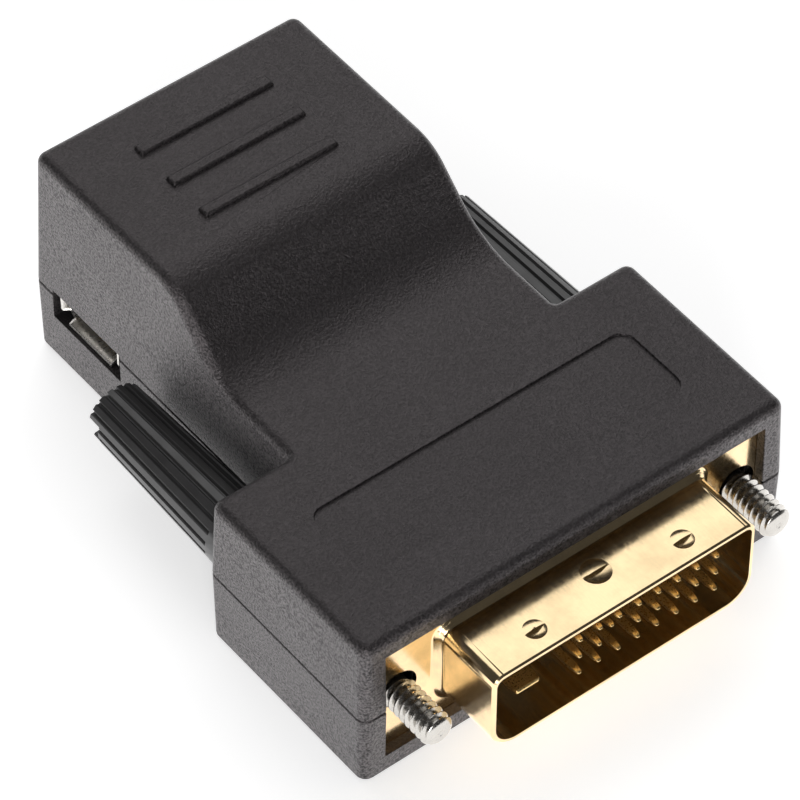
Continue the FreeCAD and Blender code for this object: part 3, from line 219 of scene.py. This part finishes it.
def bevel_selected(width, segments):
    """Rounds what is selected in edit mode, and leaves edit mode."""
    bpy.ops.mesh.bevel(offset=width, segments=segments, affect="EDGES", clamp_overlap=True)
    close_edit()


def apply_modifier(piece, kind, **values):
    """Adds a modifier with these settings and applies it."""
    pick(piece)
    modifier = piece.modifiers.new(kind.title(), kind)
    for name, setting in values.items():
        setattr(modifier, name, setting)
    bpy.ops.object.modifier_apply(modifier=modifier.name)


def smooth(piece, angle=SMOOTH_ANGLE):
    """Shades a piece smooth where its facets meet at less than the angle."""
    pick(piece)
    bpy.ops.object.shade_smooth_by_angle(angle=angle)


def round_edges(piece, width):
    """Rounds every sharp edge of a piece and keeps its flat faces flat."""
    apply_modifier(piece, "BEVEL", width=width, segments=EDGE_SEGMENTS, limit_method="ANGLE",
                   angle_limit=SMOOTH_ANGLE, miter_outer="MITER_ARC", use_clamp_overlap=True)
    smooth(piece)
    apply_modifier(piece, "WEIGHTED_NORMAL", keep_sharp=True)


def declare(piece, node, name=None):
    """Gives a finished piece its slot's material and its body, and hides the node that it stands
    for.
    """
    if name:
        piece.name = name
        piece.data.name = name
    piece.data.materials.clear()
    piece.data.materials.append(finish_of(SLOT_OF[node]))
    settle(piece)
    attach(piece, BODY_OF[node])
    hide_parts(node)


def merged_copy(node, name):
    """A copy of a frame node whose triangles are joined into whole faces."""
    piece = bpy.data.objects.new(name, frame["nodes"][node].data.copy())
    piece.data.name = name
    bpy.context.scene.collection.objects.link(piece)
    edit(piece, "FACE", "SELECT")
    bpy.ops.mesh.remove_doubles(threshold=MERGE_DISTANCE)
    if node not in KEPT_TRIANGLES:
        dissolve_flat()
    close_edit()
    return piece


def finish_node(node, name, edge):
    """Shows a node's merged copy with rounded edges in the node's place."""
    piece = merged_copy(node, name)
    round_edges(piece, edge)
    declare(piece, node)


# Materials

# Noise lies between these values, but for its rare peaks.
NOISE_LOW = 0.3
NOISE_HIGH = 0.7


class Nodes:
    """The node tree of a material or a world, with short calls that fill it."""

    def __init__(self, owner):
        owner.use_nodes = True
        self.tree = owner.node_tree

    def set(self, node, values):
        """Sets input sockets; a socket given as a value is linked instead."""
        for socket, setting in values.items():
            if isinstance(setting, bpy.types.NodeSocket):
                self.tree.links.new(setting, node.inputs[socket])
            else:
                node.inputs[socket].default_value = setting

    def add(self, kind, values=None, **settings):
        """Adds a node with its settings and input values."""
        node = self.tree.nodes.new(kind)
        for name, setting in settings.items():
            setattr(node, name, setting)
        self.set(node, values or {})
        return node

    def multiply_add(self, value, factor, addend):
        """The value times the factor plus the addend."""
        return self.add("ShaderNodeMath", {0: value, 1: factor, 2: addend},
                        operation="MULTIPLY_ADD").outputs["Value"]

    def spread(self, value, low=0.0, high=1.0, start=NOISE_LOW, end=NOISE_HIGH):
        """A value's range from start to end, spread over low to high."""
        values = {"Value": value, "From Min": start, "From Max": end, "To Min": low, "To Max": high}
        return self.add("ShaderNodeMapRange", values).outputs["Result"]


class Finish(Nodes):
    """A material under construction."""

    def __init__(self, slot, base, sizes):
        self.material = bpy.data.materials.new(f"{slot}_finish")
        super().__init__(self.material)
        self.base = base
        self.sizes = sizes
        self.shader = self.tree.nodes["Principled BSDF"]
        self.set(self.shader, {"Base Color": (*base, 1.0)})
        self.place = self.add("ShaderNodeTexCoord").outputs["Object"]

    def noise(self, size, detail=2.0, roughness=0.5, place=None):
        """Noise whose grains have about this size."""
        values = {"Vector": place or self.place, "Scale": 1 / size, "Detail": detail,
                  "Roughness": roughness}
        return self.add("ShaderNodeTexNoise", values).outputs["Fac"]

    def stretched(self, scale):
        """The object's coordinates, scaled differently along each axis."""
        values = {"Vector": self.place, "Scale": scale}
        return self.add("ShaderNodeMapping", values).outputs["Vector"]

    def shade(self, factor, dark, light):
        """The base colour times dark to light, as the factor runs from 0 to 1."""
        ramp = self.add("ShaderNodeValToRGB", {"Fac": factor})
        for element, share in zip(ramp.color_ramp.elements, (dark, light)):
            element.color = (*[min(part * share, 1.0) for part in self.base], 1.0)
        return ramp.outputs["Color"]

    def bump(self, height, depth, strength=1.0, normal=None):
        """A bump of the given depth in metres, on top of another bump if there is one."""
        values = {"Height": height, "Distance": depth, "Strength": strength}
        if normal:
            values["Normal"] = normal
        return self.add("ShaderNodeBump", values).outputs["Normal"]


# How much coarser the housing's second grain is than the first.
COARSE_SHARE = 2.6
# The strength of the housing's reflections, and how far its grain raises and lowers that on walls.
GLINT_LEVEL = 0.85
GLINT_SWING = 0.62
# Where the grain's noise reaches the ends of that swing.
GLINT_START = 0.38
GLINT_END = 0.62
# The share of the swing that is left on level faces, and the heights of a normal at which a face
# counts as a wall and as level.
LEVEL_SHARE = 0.22
WALL_NORMAL = 0.2
LEVEL_NORMAL = 0.95
# The plastic's reflections are a little warm.
SHEEN_TINT = (1.0, 0.91, 0.93, 1.0)


def housing_finish(finish):
    """Charcoal moulded plastic with a spark-eroded grain."""
    grain = finish.noise(finish.sizes.grain, detail=3.0, roughness=0.62)
    coarse = finish.noise(finish.sizes.grain * COARSE_SHARE)
    under = finish.bump(finish.spread(coarse), depth=0.016 * MM)
    facing = finish.add("ShaderNodeTexCoord").outputs["Normal"]
    upward = finish.add("ShaderNodeSeparateXYZ", {"Vector": facing}).outputs["Z"]
    levelness = finish.add("ShaderNodeMath", {0: upward}, operation="ABSOLUTE").outputs["Value"]
    swing = finish.spread(grain, -GLINT_SWING, GLINT_SWING, GLINT_START, GLINT_END)
    share = finish.spread(levelness, 1.0, LEVEL_SHARE, WALL_NORMAL, LEVEL_NORMAL)
    finish.set(finish.shader, {
        "Base Color": finish.shade(finish.spread(grain), dark=0.6, light=1.5),
        "Roughness": finish.spread(finish.noise(9 * MM), low=0.36, high=0.42),
        "Specular IOR Level": finish.multiply_add(swing, share, GLINT_LEVEL),
        "Specular Tint": SHEEN_TINT,
        "Normal": finish.bump(finish.spread(grain), depth=0.04 * MM, normal=under),
    })


def knob_finish(finish):
    """Satin black moulded plastic."""
    grain = finish.noise(finish.sizes.fine_grain)
    finish.set(finish.shader, {
        "Base Color": finish.shade(finish.noise(1.2 * MM, detail=3.0), dark=0.8, light=1.25),
        "Roughness": finish.spread(finish.noise(2.5 * MM), low=0.30, high=0.40),
        "Specular IOR Level": 0.7,
        "Normal": finish.bump(grain, depth=0.003 * MM, strength=0.5),
    })


# Where the noise of the stains on plating begins and ends to show.
STAIN_START = 0.32
STAIN_END = 0.6


def plating_finish(finish, rough, stain, brushed=(1.0, 1.0, 1.0), waviness=0.004 * MM):
    """Plated sheet metal with faint rolling marks, stains and handling scuffs."""
    stains = finish.noise(3.2 * MM, detail=5.0, roughness=0.6)
    scuffs = finish.noise(0.12 * MM, place=finish.stretched(brushed))
    waves = finish.bump(finish.noise(1.6 * MM), waviness)
    patches = finish.spread(stains, start=STAIN_START, end=STAIN_END)
    finish.set(finish.shader, {
        "Metallic": 1.0,
        "Base Color": finish.shade(patches, dark=1.0 - stain, light=1.04),
        "Roughness": finish.spread(scuffs, low=rough * 0.75, high=rough * 1.35),
        "Normal": finish.bump(scuffs, depth=0.0008 * MM, strength=0.5, normal=waves),
    })


def insulator_finish(finish):
    """Black glass filled plastic with faint flow marks."""
    grain = finish.noise(finish.sizes.fine_grain)
    flow = finish.noise(0.5 * MM, detail=4.0, place=finish.stretched((0.3, 1.0, 1.0)))
    finish.set(finish.shader, {
        "Base Color": finish.shade(flow, dark=0.7, light=1.5),
        "Roughness": finish.spread(finish.noise(0.8 * MM), low=0.42, high=0.58),
        "Normal": finish.bump(grain, depth=0.004 * MM, strength=0.6),
    })


def board_finish(finish):
    """Green solder mask over copper tracks."""
    tracks = finish.add("ShaderNodeTexBrick", {
        "Vector": finish.place, "Scale": 420.0, "Mortar Size": 0.09, "Mortar Smooth": 0.3,
        "Bias": 0.0, "Brick Width": 1.4, "Row Height": 0.35,
    }).outputs["Fac"]
    finish.set(finish.shader, {
        "Base Color": finish.shade(tracks, dark=1.0, light=1.7),
        "Roughness": finish.spread(finish.noise(1.5 * MM, detail=3.0), low=0.24, high=0.36),
        "Normal": finish.bump(tracks, depth=0.03 * MM, strength=0.8),
    })


def moulded_finish(finish, rough):
    """The plain dark or pale body of a small part on the board."""
    grain = finish.noise(0.09 * MM, detail=3.0)
    finish.set(finish.shader, {
        "Base Color": finish.shade(grain, dark=0.75, light=1.25),
        "Roughness": finish.spread(grain, low=rough * 0.85, high=rough * 1.15),
        "Normal": finish.bump(grain, depth=0.005 * MM, strength=0.6),
    })


# Each slot's colour, the function that gives it its detail, and that function's settings.
FINISHES = {
    "housing_plastic": ("housing", housing_finish, {}),
    "knob_plastic": ("knob", knob_finish, {}),
    "insulator_plastic": ("insulator", insulator_finish, {}),
    "board_laminate": ("board", board_finish, {}),
    "gold_shell": ("gold", plating_finish,
                   {"rough": 0.16, "stain": 0.16, "brushed": (1.0, 0.15, 1.0)}),
    "gold_contact": ("contact", plating_finish,
                     {"rough": 0.30, "stain": 0.12, "waviness": 0.002 * MM}),
    "nickel_shell": ("nickel", plating_finish,
                     {"rough": 0.30, "stain": 0.10, "brushed": (0.15, 1.0, 1.0)}),
    "plated_steel": ("steel", plating_finish,
                     {"rough": 0.22, "stain": 0.14, "waviness": 0.002 * MM}),
    "can_metal": ("can", plating_finish, {"rough": 0.30, "stain": 0.06}),
    "chip_plastic": ("chip", moulded_finish, {"rough": 0.50}),
    "ferrite": ("coil", moulded_finish, {"rough": 0.60}),
    "ceramic": ("ceramic", moulded_finish, {"rough": 0.55}),
}


def finish_of(slot):
    """A slot's material, made when it is first asked for."""
    found = bpy.data.materials.get(f"{slot}_finish")
    if found:
        return found
    scene = bpy.context.scene
    name, add_detail, settings = FINISHES[slot]
    finish = Finish(slot, getattr(scene.extender_colours, name), scene.extender_sizes)
    add_detail(finish, **settings)
    return finish.material


# Studio

# Where the camera stands, how it is turned and its lens, as the photo's perspective gives them.
CAMERA_PLACE = (-0.18316, -0.23020, 0.33830)
CAMERA_TURN = (0.72934, -0.00781, -0.66647)
CAMERA_LENS = 256.46
CAMERA_SENSOR = 36.0
CAMERA_NEAR = 0.01

# Each lamp's name, place in metres, size in metres and power in watts.
LAMPS = (
    ("front_softbox", (-0.56, -0.63, 0.32), 0.40, 4.0),
    ("rear_softbox", (0.34, 0.50, 0.74), 0.90, 3.5),
)
# How bright the sky is as a light, in reflections and to the camera.
SKY_LIGHT = 0.35
SKY_SHEEN = 0.06
SKY_WHITE = 1.0
FLOOR_SIZE = 6.0
# How much brighter the floor is to the camera, and in the object's reflections, than it is lit.
FLOOR_WHITE = 0.50
FLOOR_SHEEN = 1.0


def add_lamp(name, place, size, power):
    """A square soft lamp that faces the object."""
    bpy.ops.object.light_add(type="AREA", location=place)
    lamp = bpy.context.active_object
    lamp.name = name
    lamp.data.shape = "SQUARE"
    lamp.data.size = size
    lamp.data.energy = power
    lamp.rotation_euler = Vector(place).to_track_quat("Z", "Y").to_euler()


def studio_sky():
    """A surround that is white to the camera, dim in reflections and soft as a light."""
    world = bpy.data.worlds.new("studio_sky")
    nodes = Nodes(world)
    rays = nodes.add("ShaderNodeLightPath").outputs
    strength = SKY_LIGHT
    for ray, seen in (("Is Glossy Ray", SKY_SHEEN), ("Is Camera Ray", SKY_WHITE)):
        strength = nodes.spread(rays[ray], strength, seen, 0.0, 1.0)
    nodes.set(nodes.tree.nodes["Background"],
              {"Color": (1.0, 1.0, 1.0, 1.0), "Strength": strength})
    return world


def floor_finish(base):
    """A pale floor that shows white where it is seen directly and keeps the object's shadow."""
    floor = bpy.data.materials.new("studio_floor")
    nodes = Nodes(floor)
    nodes.tree.nodes.remove(nodes.tree.nodes["Principled BSDF"])
    rays = nodes.add("ShaderNodeLightPath").outputs
    lift = 0.0
    for ray, share in (("Is Camera Ray", FLOOR_WHITE), ("Is Glossy Ray", FLOOR_SHEEN)):
        lift = nodes.multiply_add(rays[ray], share, lift)
    paint = nodes.add("ShaderNodeBsdfDiffuse", {"Color": (*base, 1.0)}).outputs["BSDF"]
    glow = nodes.add("ShaderNodeEmission", {"Strength": lift}).outputs["Emission"]
    both = nodes.add("ShaderNodeAddShader", {0: paint, 1: glow}).outputs["Shader"]
    nodes.set(nodes.tree.nodes["Material Output"], {"Surface": both})
    return floor


class EXTENDER_OT_stage(Operator):
    """Builds the floor, the lamps, the sky and the camera"""
    bl_idname = "extender.stage"
    bl_label = "Studio stage"

    def execute(self, context):
        scene = context.scene
        clear_selection()
        bpy.ops.mesh.primitive_plane_add(size=FLOOR_SIZE, location=(0, 0, 0))
        floor = context.active_object
        floor.name = "studio_floor"
        floor.data.materials.append(floor_finish(scene.extender_colours.floor))
        for name, place, size, power in LAMPS:
            add_lamp(name, place, size, power)
        scene.world = studio_sky()
        bpy.ops.object.camera_add(location=CAMERA_PLACE, rotation=CAMERA_TURN)
        camera = context.active_object
        camera.name = "photo_camera"
        camera.data.lens = CAMERA_LENS
        camera.data.sensor_width = CAMERA_SENSOR
        camera.data.clip_start = CAMERA_NEAR
        scene.camera = camera
        scene.view_settings.view_transform = "Standard"
        return {"FINISHED"}


# Housing

class EXTENDER_OT_housing(Operator):
    """Finishes the two halves of the housing"""
    bl_idname = "extender.housing"
    bl_label = "Housing"

    def execute(self, context):
        edge = context.scene.extender_sizes.housing_edge
        finish_node("upper_shell", "upper_housing", edge)
        finish_node("lower_shell", "lower_housing", edge)
        return {"FINISHED"}


# Plug shells

PLUG_HEIGHT = 8.55 * MM
SHEET = 0.4 * MM
# Each dimple of the shell: its place along X, its slit's distance from the rim, its radius.
DIMPLES = (
    (-7.15 * MM, 2.05 * MM, 0.95 * MM),
    (0.0, 3.60 * MM, 1.25 * MM),
    (7.15 * MM, 2.05 * MM, 0.95 * MM),
)
# The solid's plain dimples: their tips and all of their points lie within these shares of the
# radius from their middles.
DIMPLE_TIP = 0.1
DIMPLE_REACH = 1.1
# A dimple's rim stays this close to its circle.
DIMPLE_MARGIN = 0.04 * MM
# The raised lobe starts this far behind the slit.
DIMPLE_STEP = 0.02 * MM
# The dimples' rims turn by more than this, the shell's rounded corners by less.
DIMPLE_ANGLE = math.radians(18)
LOBE_SEGMENTS = 96
LOBE_RINGS = 64
# The root's edges lie this close before the flange, this close above and below the shell, and
# within this share of the flange's half width.
ROOT_DEPTH = 3 * SHEET
ROOT_RISE = 2 * SHEET
ROOT_SPAN = 0.75


def distance_to(dimple, point):
    """How far a point lies from the middle of a dimple's slit, seen from above."""
    x, slit, _ = dimple
    return math.hypot(point.x - x, point.y - slit)


def flatten_dimples(shell, dimples, top):
    """Moves the plain dimples' tips into the shell's top and dissolves what is left of them."""
    def inside(point, share):
        return abs(point.co.z - top) < SHEET and any(
            distance_to(dimple, point.co) < dimple[2] * share for dimple in dimples)

    select_where(shell, "vertices", lambda point: inside(point, DIMPLE_TIP))
    bpy.ops.transform.resize(value=(1, 1, 0), center_override=(0, 0, top))
    bpy.ops.mesh.remove_doubles(threshold=MERGE_DISTANCE)
    close_edit()
    select_where(shell, "vertices", lambda point: inside(point, DIMPLE_REACH))
    bpy.ops.mesh.dissolve_verts()
    dissolve_flat()
    close_edit()


def dimple_lobe(x, slit, top, radius, depth, raised):
    """Half a lens: the body of a dimple's lobe, behind the slit if it is raised, else before it."""
    ball = (radius ** 2 + depth ** 2) / (2 * depth)
    rise = depth - ball if raised else ball - depth
    bpy.ops.mesh.primitive_uv_sphere_add(segments=LOBE_SEGMENTS, ring_count=LOBE_RINGS,
                                         radius=ball, location=(x, slit, top + rise))
    lobe = bpy.context.active_object
    settle(lobe)
    side = 1 if raised else -1
    limit = top - SHEET / 2 if raised else top + SHEET
    for place, away in (((x, slit, top), (0, -side, 0)), ((x, slit, limit), (0, 0, -side))):
        edit(lobe, "FACE", "SELECT")
        bpy.ops.mesh.bisect(plane_co=place, plane_no=away, use_fill=True, clear_outer=True,
                            threshold=CUT_DISTANCE)
        close_edit()
    return lobe


def cut_lobes(shell, dimples, top, sizes):
    """Sinks each dimple's front lobe into the shell's top, and raises its rear lobe from it."""
    for raised, operation, depth, step in (
            (False, "DIFFERENCE", sizes.dimple_depth, 0.0),
            (True, "UNION", sizes.dimple_rise, DIMPLE_STEP)):
        for x, slit, radius in dimples:
            lobe = dimple_lobe(x, slit + step, top, radius, depth, raised)
            apply_modifier(shell, "BOOLEAN", operation=operation, solver="EXACT", object=lobe)
            bpy.data.objects.remove(lobe)
    edit(shell, "FACE")
    dissolve_flat()
    close_edit()


def round_root(shell, corner, top, bottom, width):
    """Rounds the inner corner where the shell turns into its flange."""
    flange = corner.y - SHEET

    def at_root(edge):
        ends = ends_of(shell, edge)
        return (abs(ends[0].y - ends[1].y) < MERGE_DISTANCE
                and all(flange - ROOT_DEPTH < end.y < flange + MERGE_DISTANCE
                        and bottom - ROOT_RISE < end.z < top + ROOT_RISE
                        and abs(end.x) < corner.x * ROOT_SPAN for end in ends))

    select_where(shell, "edges", at_root)
    bevel_selected(width, ROOT_SEGMENTS)


def round_rims(shell, dimples, bottom, width):
    """Rounds the sheet's sharp edges, but not those of the dimples."""
    def outside_dimples(edge):
        middle = sum(ends_of(shell, edge), Vector()) / 2
        return middle.z <= bottom + SHEET or not any(
            distance_to(dimple, middle) < dimple[2] + DIMPLE_MARGIN for dimple in dimples)

    edit(shell, "EDGE")
    bpy.ops.mesh.edges_select_sharp(sharpness=SMOOTH_ANGLE)
    keep_edges(shell, outside_dimples)
    bevel_selected(width, RIM_SEGMENTS)


def shade_dimples(shell, dimples, top):
    """Shades the shell smooth and keeps the dimples' rims sharp."""
    def on_rim(edge):
        ends = ends_of(shell, edge)
        return any(all(abs(end.z - top) < MERGE_DISTANCE
                       and abs(distance_to(dimple, end) - dimple[2]) < DIMPLE_MARGIN
                       for end in ends) for dimple in dimples)

    smooth(shell, DIMPLE_ANGLE)
    select_where(shell, "edges", on_rim)
    bpy.ops.mesh.mark_sharp()
    close_edit()
    apply_modifier(shell, "WEIGHTED_NORMAL", keep_sharp=True)


def make_plug_shell(sizes):
    """The drawn gold shell, with a rounded root and lanced dimples in its top."""
    shell = merged_copy("plug_shell", "plug_front_shell")
    low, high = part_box("plug_shell")
    middle = (low.z + high.z) / 2
    top, bottom = middle + PLUG_HEIGHT / 2, middle - PLUG_HEIGHT / 2
    dimples = [(x, low.y + setback, radius) for x, setback, radius in DIMPLES]
    flatten_dimples(shell, dimples, top)
    cut_lobes(shell, dimples, top, sizes)
    round_root(shell, high, top, bottom, sizes.root_round)
    round_rims(shell, dimples, bottom, sizes.metal_edge)
    shade_dimples(shell, dimples, top)
    declare(shell, "plug_shell")


class EXTENDER_OT_plug(Operator):
    """Finishes the plug's two shells and its insulator"""
    bl_idname = "extender.plug"
    bl_label = "Plug shells"

    def execute(self, context):
        sizes = context.scene.extender_sizes
        make_plug_shell(sizes)
        finish_node("plug_back_shell", "plug_rear_shell", sizes.metal_edge)
        finish_node("plug_insulator", "plug_insulator_block", sizes.contact_edge)
        return {"FINISHED"}


# Plug contacts

# The contacts' tips all lie in front of this depth.
TIP_DEPTH = -26.5 * MM
# Tips whose depths in metres agree to this many decimals are cut together.
TIP_DECIMALS = 5
# A contact's rounded end reaches this far past its flat tip.
TIP_MARGIN = 0.25 * MM
# How wide a pin's and the blade's tips stay.
PIN_TIP = 0.62
BLADE_TIP = 0.9


def is_tip(face):
    """Whether a face is the flat end of a contact."""
    return faces_front(face) and face.center.y < TIP_DEPTH


def taper_tips(piece, reach, share):
    """Narrows the front end of every contact in a row over the given reach."""
    tips = []
    for face in filter(is_tip, piece.data.polygons):
        width = max(abs(piece.data.vertices[number].co.x - face.center.x)
                    for number in face.vertices)
        tips.append((face.center.copy(), width + TIP_MARGIN))
    for depth in sorted({round(middle.y, TIP_DECIMALS) for middle, _ in tips}):
        edit(piece, "FACE", "SELECT")
        bpy.ops.mesh.bisect(plane_co=(0, depth + reach, 0), plane_no=(0, 1, 0),
                            threshold=CUT_DISTANCE)
        close_edit()
    for middle, width in tips:
        select_where(piece, "vertices", lambda point: (
            abs(point.co.x - middle.x) < width and abs(point.co.z - middle.z) < width
            and point.co.y < middle.y + reach / 2))
        bpy.ops.transform.resize(value=(share, 1, share), center_override=middle)
        close_edit()


def make_contacts(node, name, share, sizes):
    """A row of contacts, or the blade, with tapered and rounded ends."""
    piece = merged_copy(node, name)
    taper_tips(piece, sizes.tip_reach, share)
    select_where(piece, "polygons", is_tip)
    bevel_selected(sizes.tip_round, TIP_SEGMENTS)
    round_edges(piece, sizes.contact_edge)
    declare(piece, node)


class EXTENDER_OT_contacts(Operator):
    """Finishes the plug's contacts and its ground blade"""
    bl_idname = "extender.contacts"
    bl_label = "Plug contacts"

    def execute(self, context):
        sizes = context.scene.extender_sizes
        for row in ("upper", "middle", "lower"):
            make_contacts(f"plug_contacts_{row}", f"plug_pins_{row}", PIN_TIP, sizes)
        make_contacts("ground_blade", "plug_ground_blade", BLADE_TIP, sizes)
        return {"FINISHED"}


# Thumbscrews

ROD_SIDES = 64
SHANK_SIDES = 48
# The mark's rim lies this share of the flat end's radius inside it.
MARK_INSET = 0.62
# A side face of the rod has this many corners, and its end has more.
SIDE_CORNERS = 4
# A tooth of the thread: each step of its profile along the screw, as a share of the pitch, and
# outwards, as a share of the depth.
TOOTH = ((0.16, 0.0), (0.36, 1.0), (0.12, 0.0), (0.36, -1.0))
# How many turns the helix starts before the screw's end, and how many it has to spare in all.
THREAD_LEAD = 1.3
THREAD_SPARE = 2
# The helix is this much wider than the rod, which trims its crests.
CREST_SHARE = 1.001


def screw_rod(tip, radius, sizes):
    """The rod that trims the thread: bevelled at its end, with a centre mark."""
    reach = sizes.thread_reach
    bpy.ops.mesh.primitive_cylinder_add(vertices=ROD_SIDES, radius=radius, depth=reach,
                                        location=(0, tip + reach / 2, 0), rotation=LYING)
    rod = bpy.context.active_object
    settle(rod)
    select_where(rod, "polygons", faces_front)
    bpy.ops.mesh.bevel(offset=sizes.screw_bevel, segments=SCREW_SEGMENTS, affect="EDGES")
    close_edit()
    select_where(rod, "polygons",
                 lambda face: faces_front(face) and len(face.vertices) > SIDE_CORNERS)
    bpy.ops.mesh.inset(thickness=(radius - sizes.screw_bevel) * MARK_INSET, depth=0)
    bpy.ops.mesh.extrude_region_move(TRANSFORM_OT_translate={"value": (0, sizes.screw_mark, 0)})
    bpy.ops.mesh.merge(type="CENTER")
    close_edit()
    return rod


def thread_helix(start, turns, outer, sizes):
    """A closed threaded rod, spun from one tooth of its profile and capped at both ends."""
    pitch, depth, steps = sizes.thread_pitch, sizes.thread_depth, sizes.thread_steps
    bpy.ops.mesh.primitive_plane_add(size=pitch, location=(0, 0, 0))
    helix = bpy.context.active_object
    edit(helix, "VERT", "SELECT")
    bpy.ops.mesh.merge(type="CENTER")
    bpy.ops.transform.translate(value=(0, start, outer - depth))
    for along, out in TOOTH:
        bpy.ops.mesh.extrude_region_move(
            TRANSFORM_OT_translate={"value": (0, pitch * along, depth * out)})
    close_edit()
    apply_modifier(helix, "SCREW", axis="Y", angle=math.tau, screw_offset=pitch, iterations=turns,
                   steps=steps, render_steps=steps, use_normal_calculate=True)
    edit(helix, "VERT", "SELECT")
    bpy.ops.mesh.remove_doubles(threshold=MERGE_DISTANCE)
    close_edit()
    middle = start + pitch * (turns + 1) / 2
    for side in (-1, 1):
        edit(helix, "EDGE")
        bpy.ops.mesh.select_non_manifold(extend=False)
        keep_edges(helix, lambda edge: (
            side * (sum(end.y for end in ends_of(helix, edge)) / 2 - middle) > 0))
        bpy.ops.mesh.extrude_region()
        bpy.ops.mesh.merge(type="CENTER")
        close_edit()
    edit(helix, "FACE", "SELECT")
    bpy.ops.mesh.normals_make_consistent(inside=False)
    close_edit()
    return helix


def make_screw(side, sizes):
    """One jackscrew with a real thread, a rounded end and its plain shank."""
    node = f"{side}_screw"
    low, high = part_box(node)
    outer = (high.x - low.x) / 2
    clear_selection()
    rod = screw_rod(low.y, outer, sizes)
    turns = math.ceil(sizes.thread_reach / sizes.thread_pitch) + THREAD_SPARE
    start = low.y - THREAD_LEAD * sizes.thread_pitch
    screw = thread_helix(start, turns, outer * CREST_SHARE, sizes)
    apply_modifier(screw, "BOOLEAN", operation="INTERSECT", solver="EXACT", object=rod)
    bpy.data.objects.remove(rod)
    smooth(screw)
    shank_start = low.y + sizes.thread_reach
    bpy.ops.mesh.primitive_cylinder_add(
        vertices=SHANK_SIDES, radius=sizes.shank_radius, depth=high.y - shank_start,
        location=(0, (high.y + shank_start) / 2, 0), rotation=LYING)
    shank = bpy.context.active_object
    settle(shank)
    round_edges(shank, sizes.metal_edge)
    pick(screw)
    shank.select_set(True)
    bpy.ops.object.join()
    screw.location = ((low.x + high.x) / 2, 0, (low.z + high.z) / 2)
    declare(screw, node, f"{side}_threaded_screw")


class EXTENDER_OT_thumbscrews(Operator):
    """Builds the threaded screws and finishes their knobs"""
    bl_idname = "extender.thumbscrews"
    bl_label = "Thumbscrews"

    def execute(self, context):
        sizes = context.scene.extender_sizes
        for side in ("left", "right"):
            make_screw(side, sizes)
            finish_node(f"{side}_knob", f"{side}_fluted_knob", sizes.knob_edge)
        return {"FINISHED"}


# Sockets and board

class EXTENDER_OT_network_socket(Operator):
    """Finishes the network socket"""
    bl_idname = "extender.network_socket"
    bl_label = "Network socket"

    def execute(self, context):
        sizes = context.scene.extender_sizes
        finish_node("network_socket_shield", "network_socket_can", sizes.metal_edge)
        finish_node("network_socket_body", "network_socket_moulding", sizes.contact_edge)
        finish_node("network_socket_contacts", "network_socket_wires", sizes.contact_edge)
        return {"FINISHED"}


class EXTENDER_OT_usb_socket(Operator):
    """Finishes the power socket in the left wall"""
    bl_idname = "extender.usb_socket"
    bl_label = "Power socket"

    def execute(self, context):
        sizes = context.scene.extender_sizes
        finish_node("usb_shell", "power_socket_shell", sizes.contact_edge)
        finish_node("usb_tongue", "power_socket_tongue", sizes.contact_edge)
        finish_node("usb_contacts", "power_socket_contacts", sizes.fine_edge)
        return {"FINISHED"}


class EXTENDER_OT_board(Operator):
    """Finishes the circuit board and what stands on it"""
    bl_idname = "extender.board"
    bl_label = "Circuit board"

    def execute(self, context):
        edge = context.scene.extender_sizes.contact_edge
        for node in ("circuit_board", "main_chip", "regulator_chip", "power_coil", "crystal_can",
                     "chip_capacitors"):
            finish_node(node, f"{node}_finished", edge)
        return {"FINISHED"}


# Sidebar and steps

class EXTENDER_PT_sidebar(Panel):
    """Lists the steps, sizes and colours"""
    bl_idname = "EXTENDER_PT_sidebar"
    bl_label = "Video Extender"
    bl_space_type = "VIEW_3D"
    bl_region_type = "UI"
    bl_category = "Extender"

    def draw(self, context):
        for step in STEPS:
            self.layout.operator(step.bl_idname)
        for group in (context.scene.extender_sizes, context.scene.extender_colours):
            box = self.layout.box()
            for name in group.__annotations__:
                box.prop(group, name)


STEPS = (
    EXTENDER_OT_stage,
    EXTENDER_OT_housing,
    EXTENDER_OT_plug,
    EXTENDER_OT_contacts,
    EXTENDER_OT_thumbscrews,
    EXTENDER_OT_network_socket,
    EXTENDER_OT_usb_socket,
    EXTENDER_OT_board,
)
CLASSES = (ExtenderSizes, ExtenderColours, *STEPS, EXTENDER_PT_sidebar)


def register():
    """Adds the classes and the scene's sizes and colours."""
    for item in CLASSES:
        bpy.utils.register_class(item)
    bpy.types.Scene.extender_sizes = PointerProperty(type=ExtenderSizes)
    bpy.types.Scene.extender_colours = PointerProperty(type=ExtenderColours)


def unregister():
    """Takes away what register adds."""
    del bpy.types.Scene.extender_colours
    del bpy.types.Scene.extender_sizes
    for item in reversed(CLASSES):
        bpy.utils.unregister_class(item)


def main():
    """Registers the add-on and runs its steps."""
    register()
    for step in STEPS:
        group, name = step.bl_idname.split(".")
        getattr(getattr(bpy.ops, group), name)()


if __name__ == "__main__":
    main()
